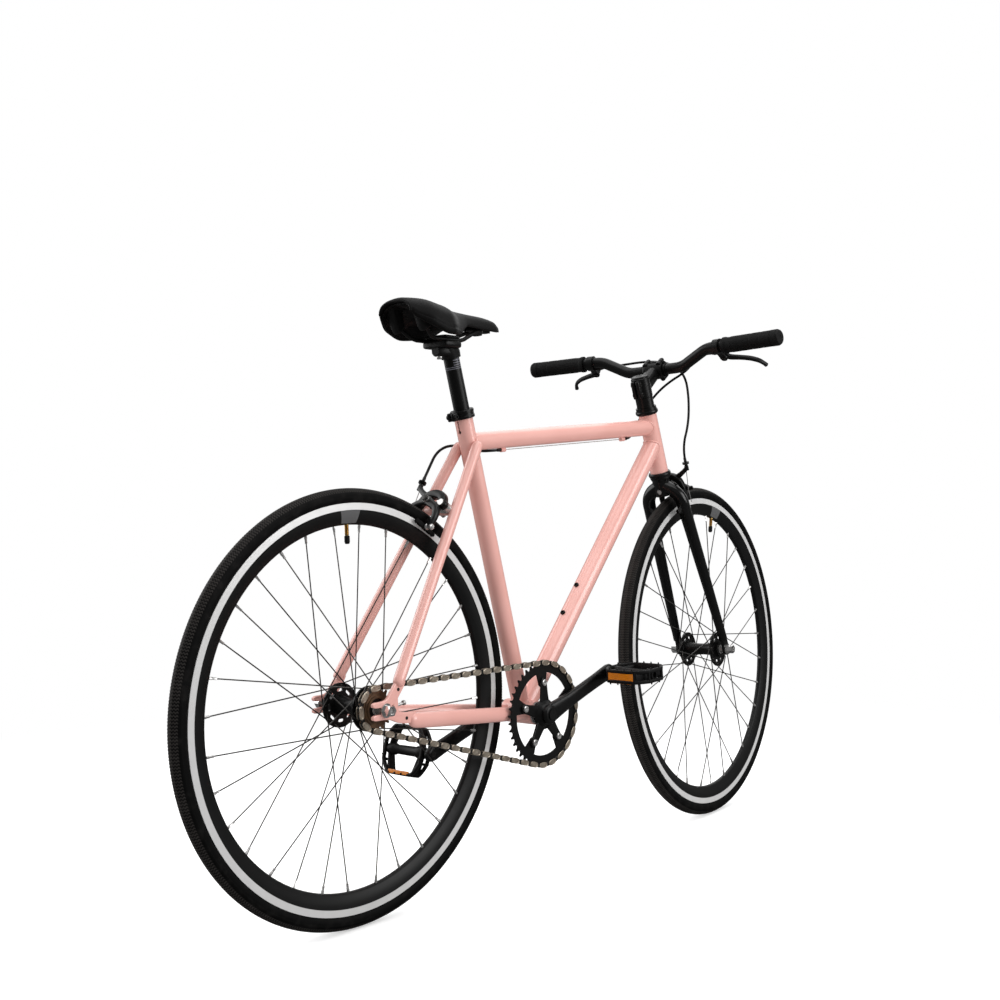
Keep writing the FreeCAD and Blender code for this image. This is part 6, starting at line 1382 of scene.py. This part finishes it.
# Camera as the photograph was taken, soft light, white surroundings
view = {"place": (-1.80798, -1.559746, 0.639310), "yaw": 41.5532, "pitch": 0.4201, "roll": -1.1680,
        "focal": 1347.37, "picture": 1000.0, "sensor": 36.0}


def addCamera():
    yaw, pitch, roll = (math.radians(view[key]) for key in ("yaw", "pitch", "roll"))
    ahead = np.array([math.cos(yaw) * math.cos(pitch), math.sin(yaw) * math.cos(pitch), math.sin(pitch)])
    right = unit(np.cross(ahead, [0, 0, 1]))
    up = np.cross(right, ahead)
    right, up = right * math.cos(roll) + up * math.sin(roll), up * math.cos(roll) - right * math.sin(roll)
    data = bpy.data.cameras.new("photoCamera")
    data.sensor_width = view["sensor"]
    data.lens = view["focal"] * view["sensor"] / view["picture"]
    data.clip_end = 200.0
    camera = addObject("photoCamera", data)
    standAt(camera, (right, up, -ahead), view["place"])
    bpy.context.scene.camera = camera


lamps = [{"name": "overhead", "place": (-0.2, -0.2, 3.0), "aim": (0.05, 0.0, 0.4), "size": 3.0,
          "power": 46.0},
         {"name": "leftRim", "place": (-1.0, 2.7, 1.7), "aim": (0.0, 0.0, 0.55), "size": 2.6, "power": 48.0},
         {"name": "rightSoft", "place": (1.0, -2.8, 1.5), "aim": (0.1, 0.0, 0.5), "size": 1.8, "power": 44.0},
         {"name": "farTop", "place": (2.3, 0.9, 2.3), "aim": (0.1, 0.0, 0.6), "size": 2.6, "power": 26.0}]


def addLamp(spec):
    data = bpy.data.lights.new(spec["name"], "AREA")
    data.shape = "SQUARE"
    data.size, data.energy = spec["size"], spec["power"]
    away = unit(np.array(spec["place"]) - np.array(spec["aim"]))
    standAt(addObject(spec["name"], data), axesFrom(unit(np.cross(upright, away) + 1e-6), away),
            spec["place"])


def raySorts(start):        # seen by the camera, straight or through glass; seen in a reflection
    camera, glossy, through = start.node("ShaderNodeLightPath", out=(0, 3, 6))
    return camera.maths("MAXIMUM", through), glossy


studio = {"shown": 1.0, "mirrored": 0.2, "soft": 0.56}


def whiteWorld():
    world = bpy.data.worlds.new("studio")
    bpy.context.scene.world = world
    start = Wire(emptyTree(world))
    seen, glossy = raySorts(start)
    shown, mirrored, soft = (start.node("ShaderNodeBackground", {},
                                        {"Color": rgb(1.0), "Strength": studio[key]})
                             for key in ("shown", "mirrored", "soft"))
    first = start.node("ShaderNodeMixShader", {}, {0: glossy, 1: soft, 2: mirrored})
    last = start.node("ShaderNodeMixShader", {}, {0: seen, 1: first, 2: shown})
    start.node("ShaderNodeOutputWorld", {}, {0: last}, ())


# paper that fades to white away from the bike, and two darker tones for what the camera does not see
ground = {"half": 30.0, "fade": (0.9, 2.2), "paper": 0.82, "glow": 0.42, "bounced": 0.52, "mirrored": 0.1}


def addFloor():
    half = ground["half"]
    mesh = bpy.data.meshes.new("floor")
    mesh.from_pydata([(-half, -half, 0.0), (half, -half, 0.0), (half, half, 0.0), (-half, half, 0.0)], [],
                     [(0, 1, 2, 3)])
    material = bpy.data.materials.new("floorPaper")
    start = Wire(emptyTree(material))
    seen, glossy = raySorts(start)
    x, y = start.node("ShaderNodeTexCoord", out=3).parts()[:2]
    far = (x * x + y * y).maths("SQRT").ease(*ground["fade"])
    paper, dim, dark = (start.node("ShaderNodeBsdfDiffuse", {}, {"Color": rgb(ground[key])})
                        for key in ("paper", "bounced", "mirrored"))
    glow, white = (start.node("ShaderNodeEmission", {}, {"Color": rgb(1.0), "Strength": strength})
                   for strength in (ground["glow"], 1.0))
    near = start.node("ShaderNodeAddShader", {}, {0: paper, 1: glow})
    shown = start.node("ShaderNodeMixShader", {}, {0: far, 1: near, 2: white})
    unseen = start.node("ShaderNodeMixShader", {}, {0: glossy, 1: dim, 2: dark})
    last = start.node("ShaderNodeMixShader", {}, {0: seen, 1: unseen, 2: shown})
    start.node("ShaderNodeOutputMaterial", {}, {0: last}, ())
    mesh.materials.append(material)
    floor = addObject("floor", mesh)
    floor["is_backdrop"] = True


addCamera()
for spec in lamps:
    addLamp(spec)
whiteWorld()
addFloor()
bpy.context.scene.view_settings.view_transform = "Standard"
print("camera, lamps and floor set")

bpy.context.view_layer.update()
low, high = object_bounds()
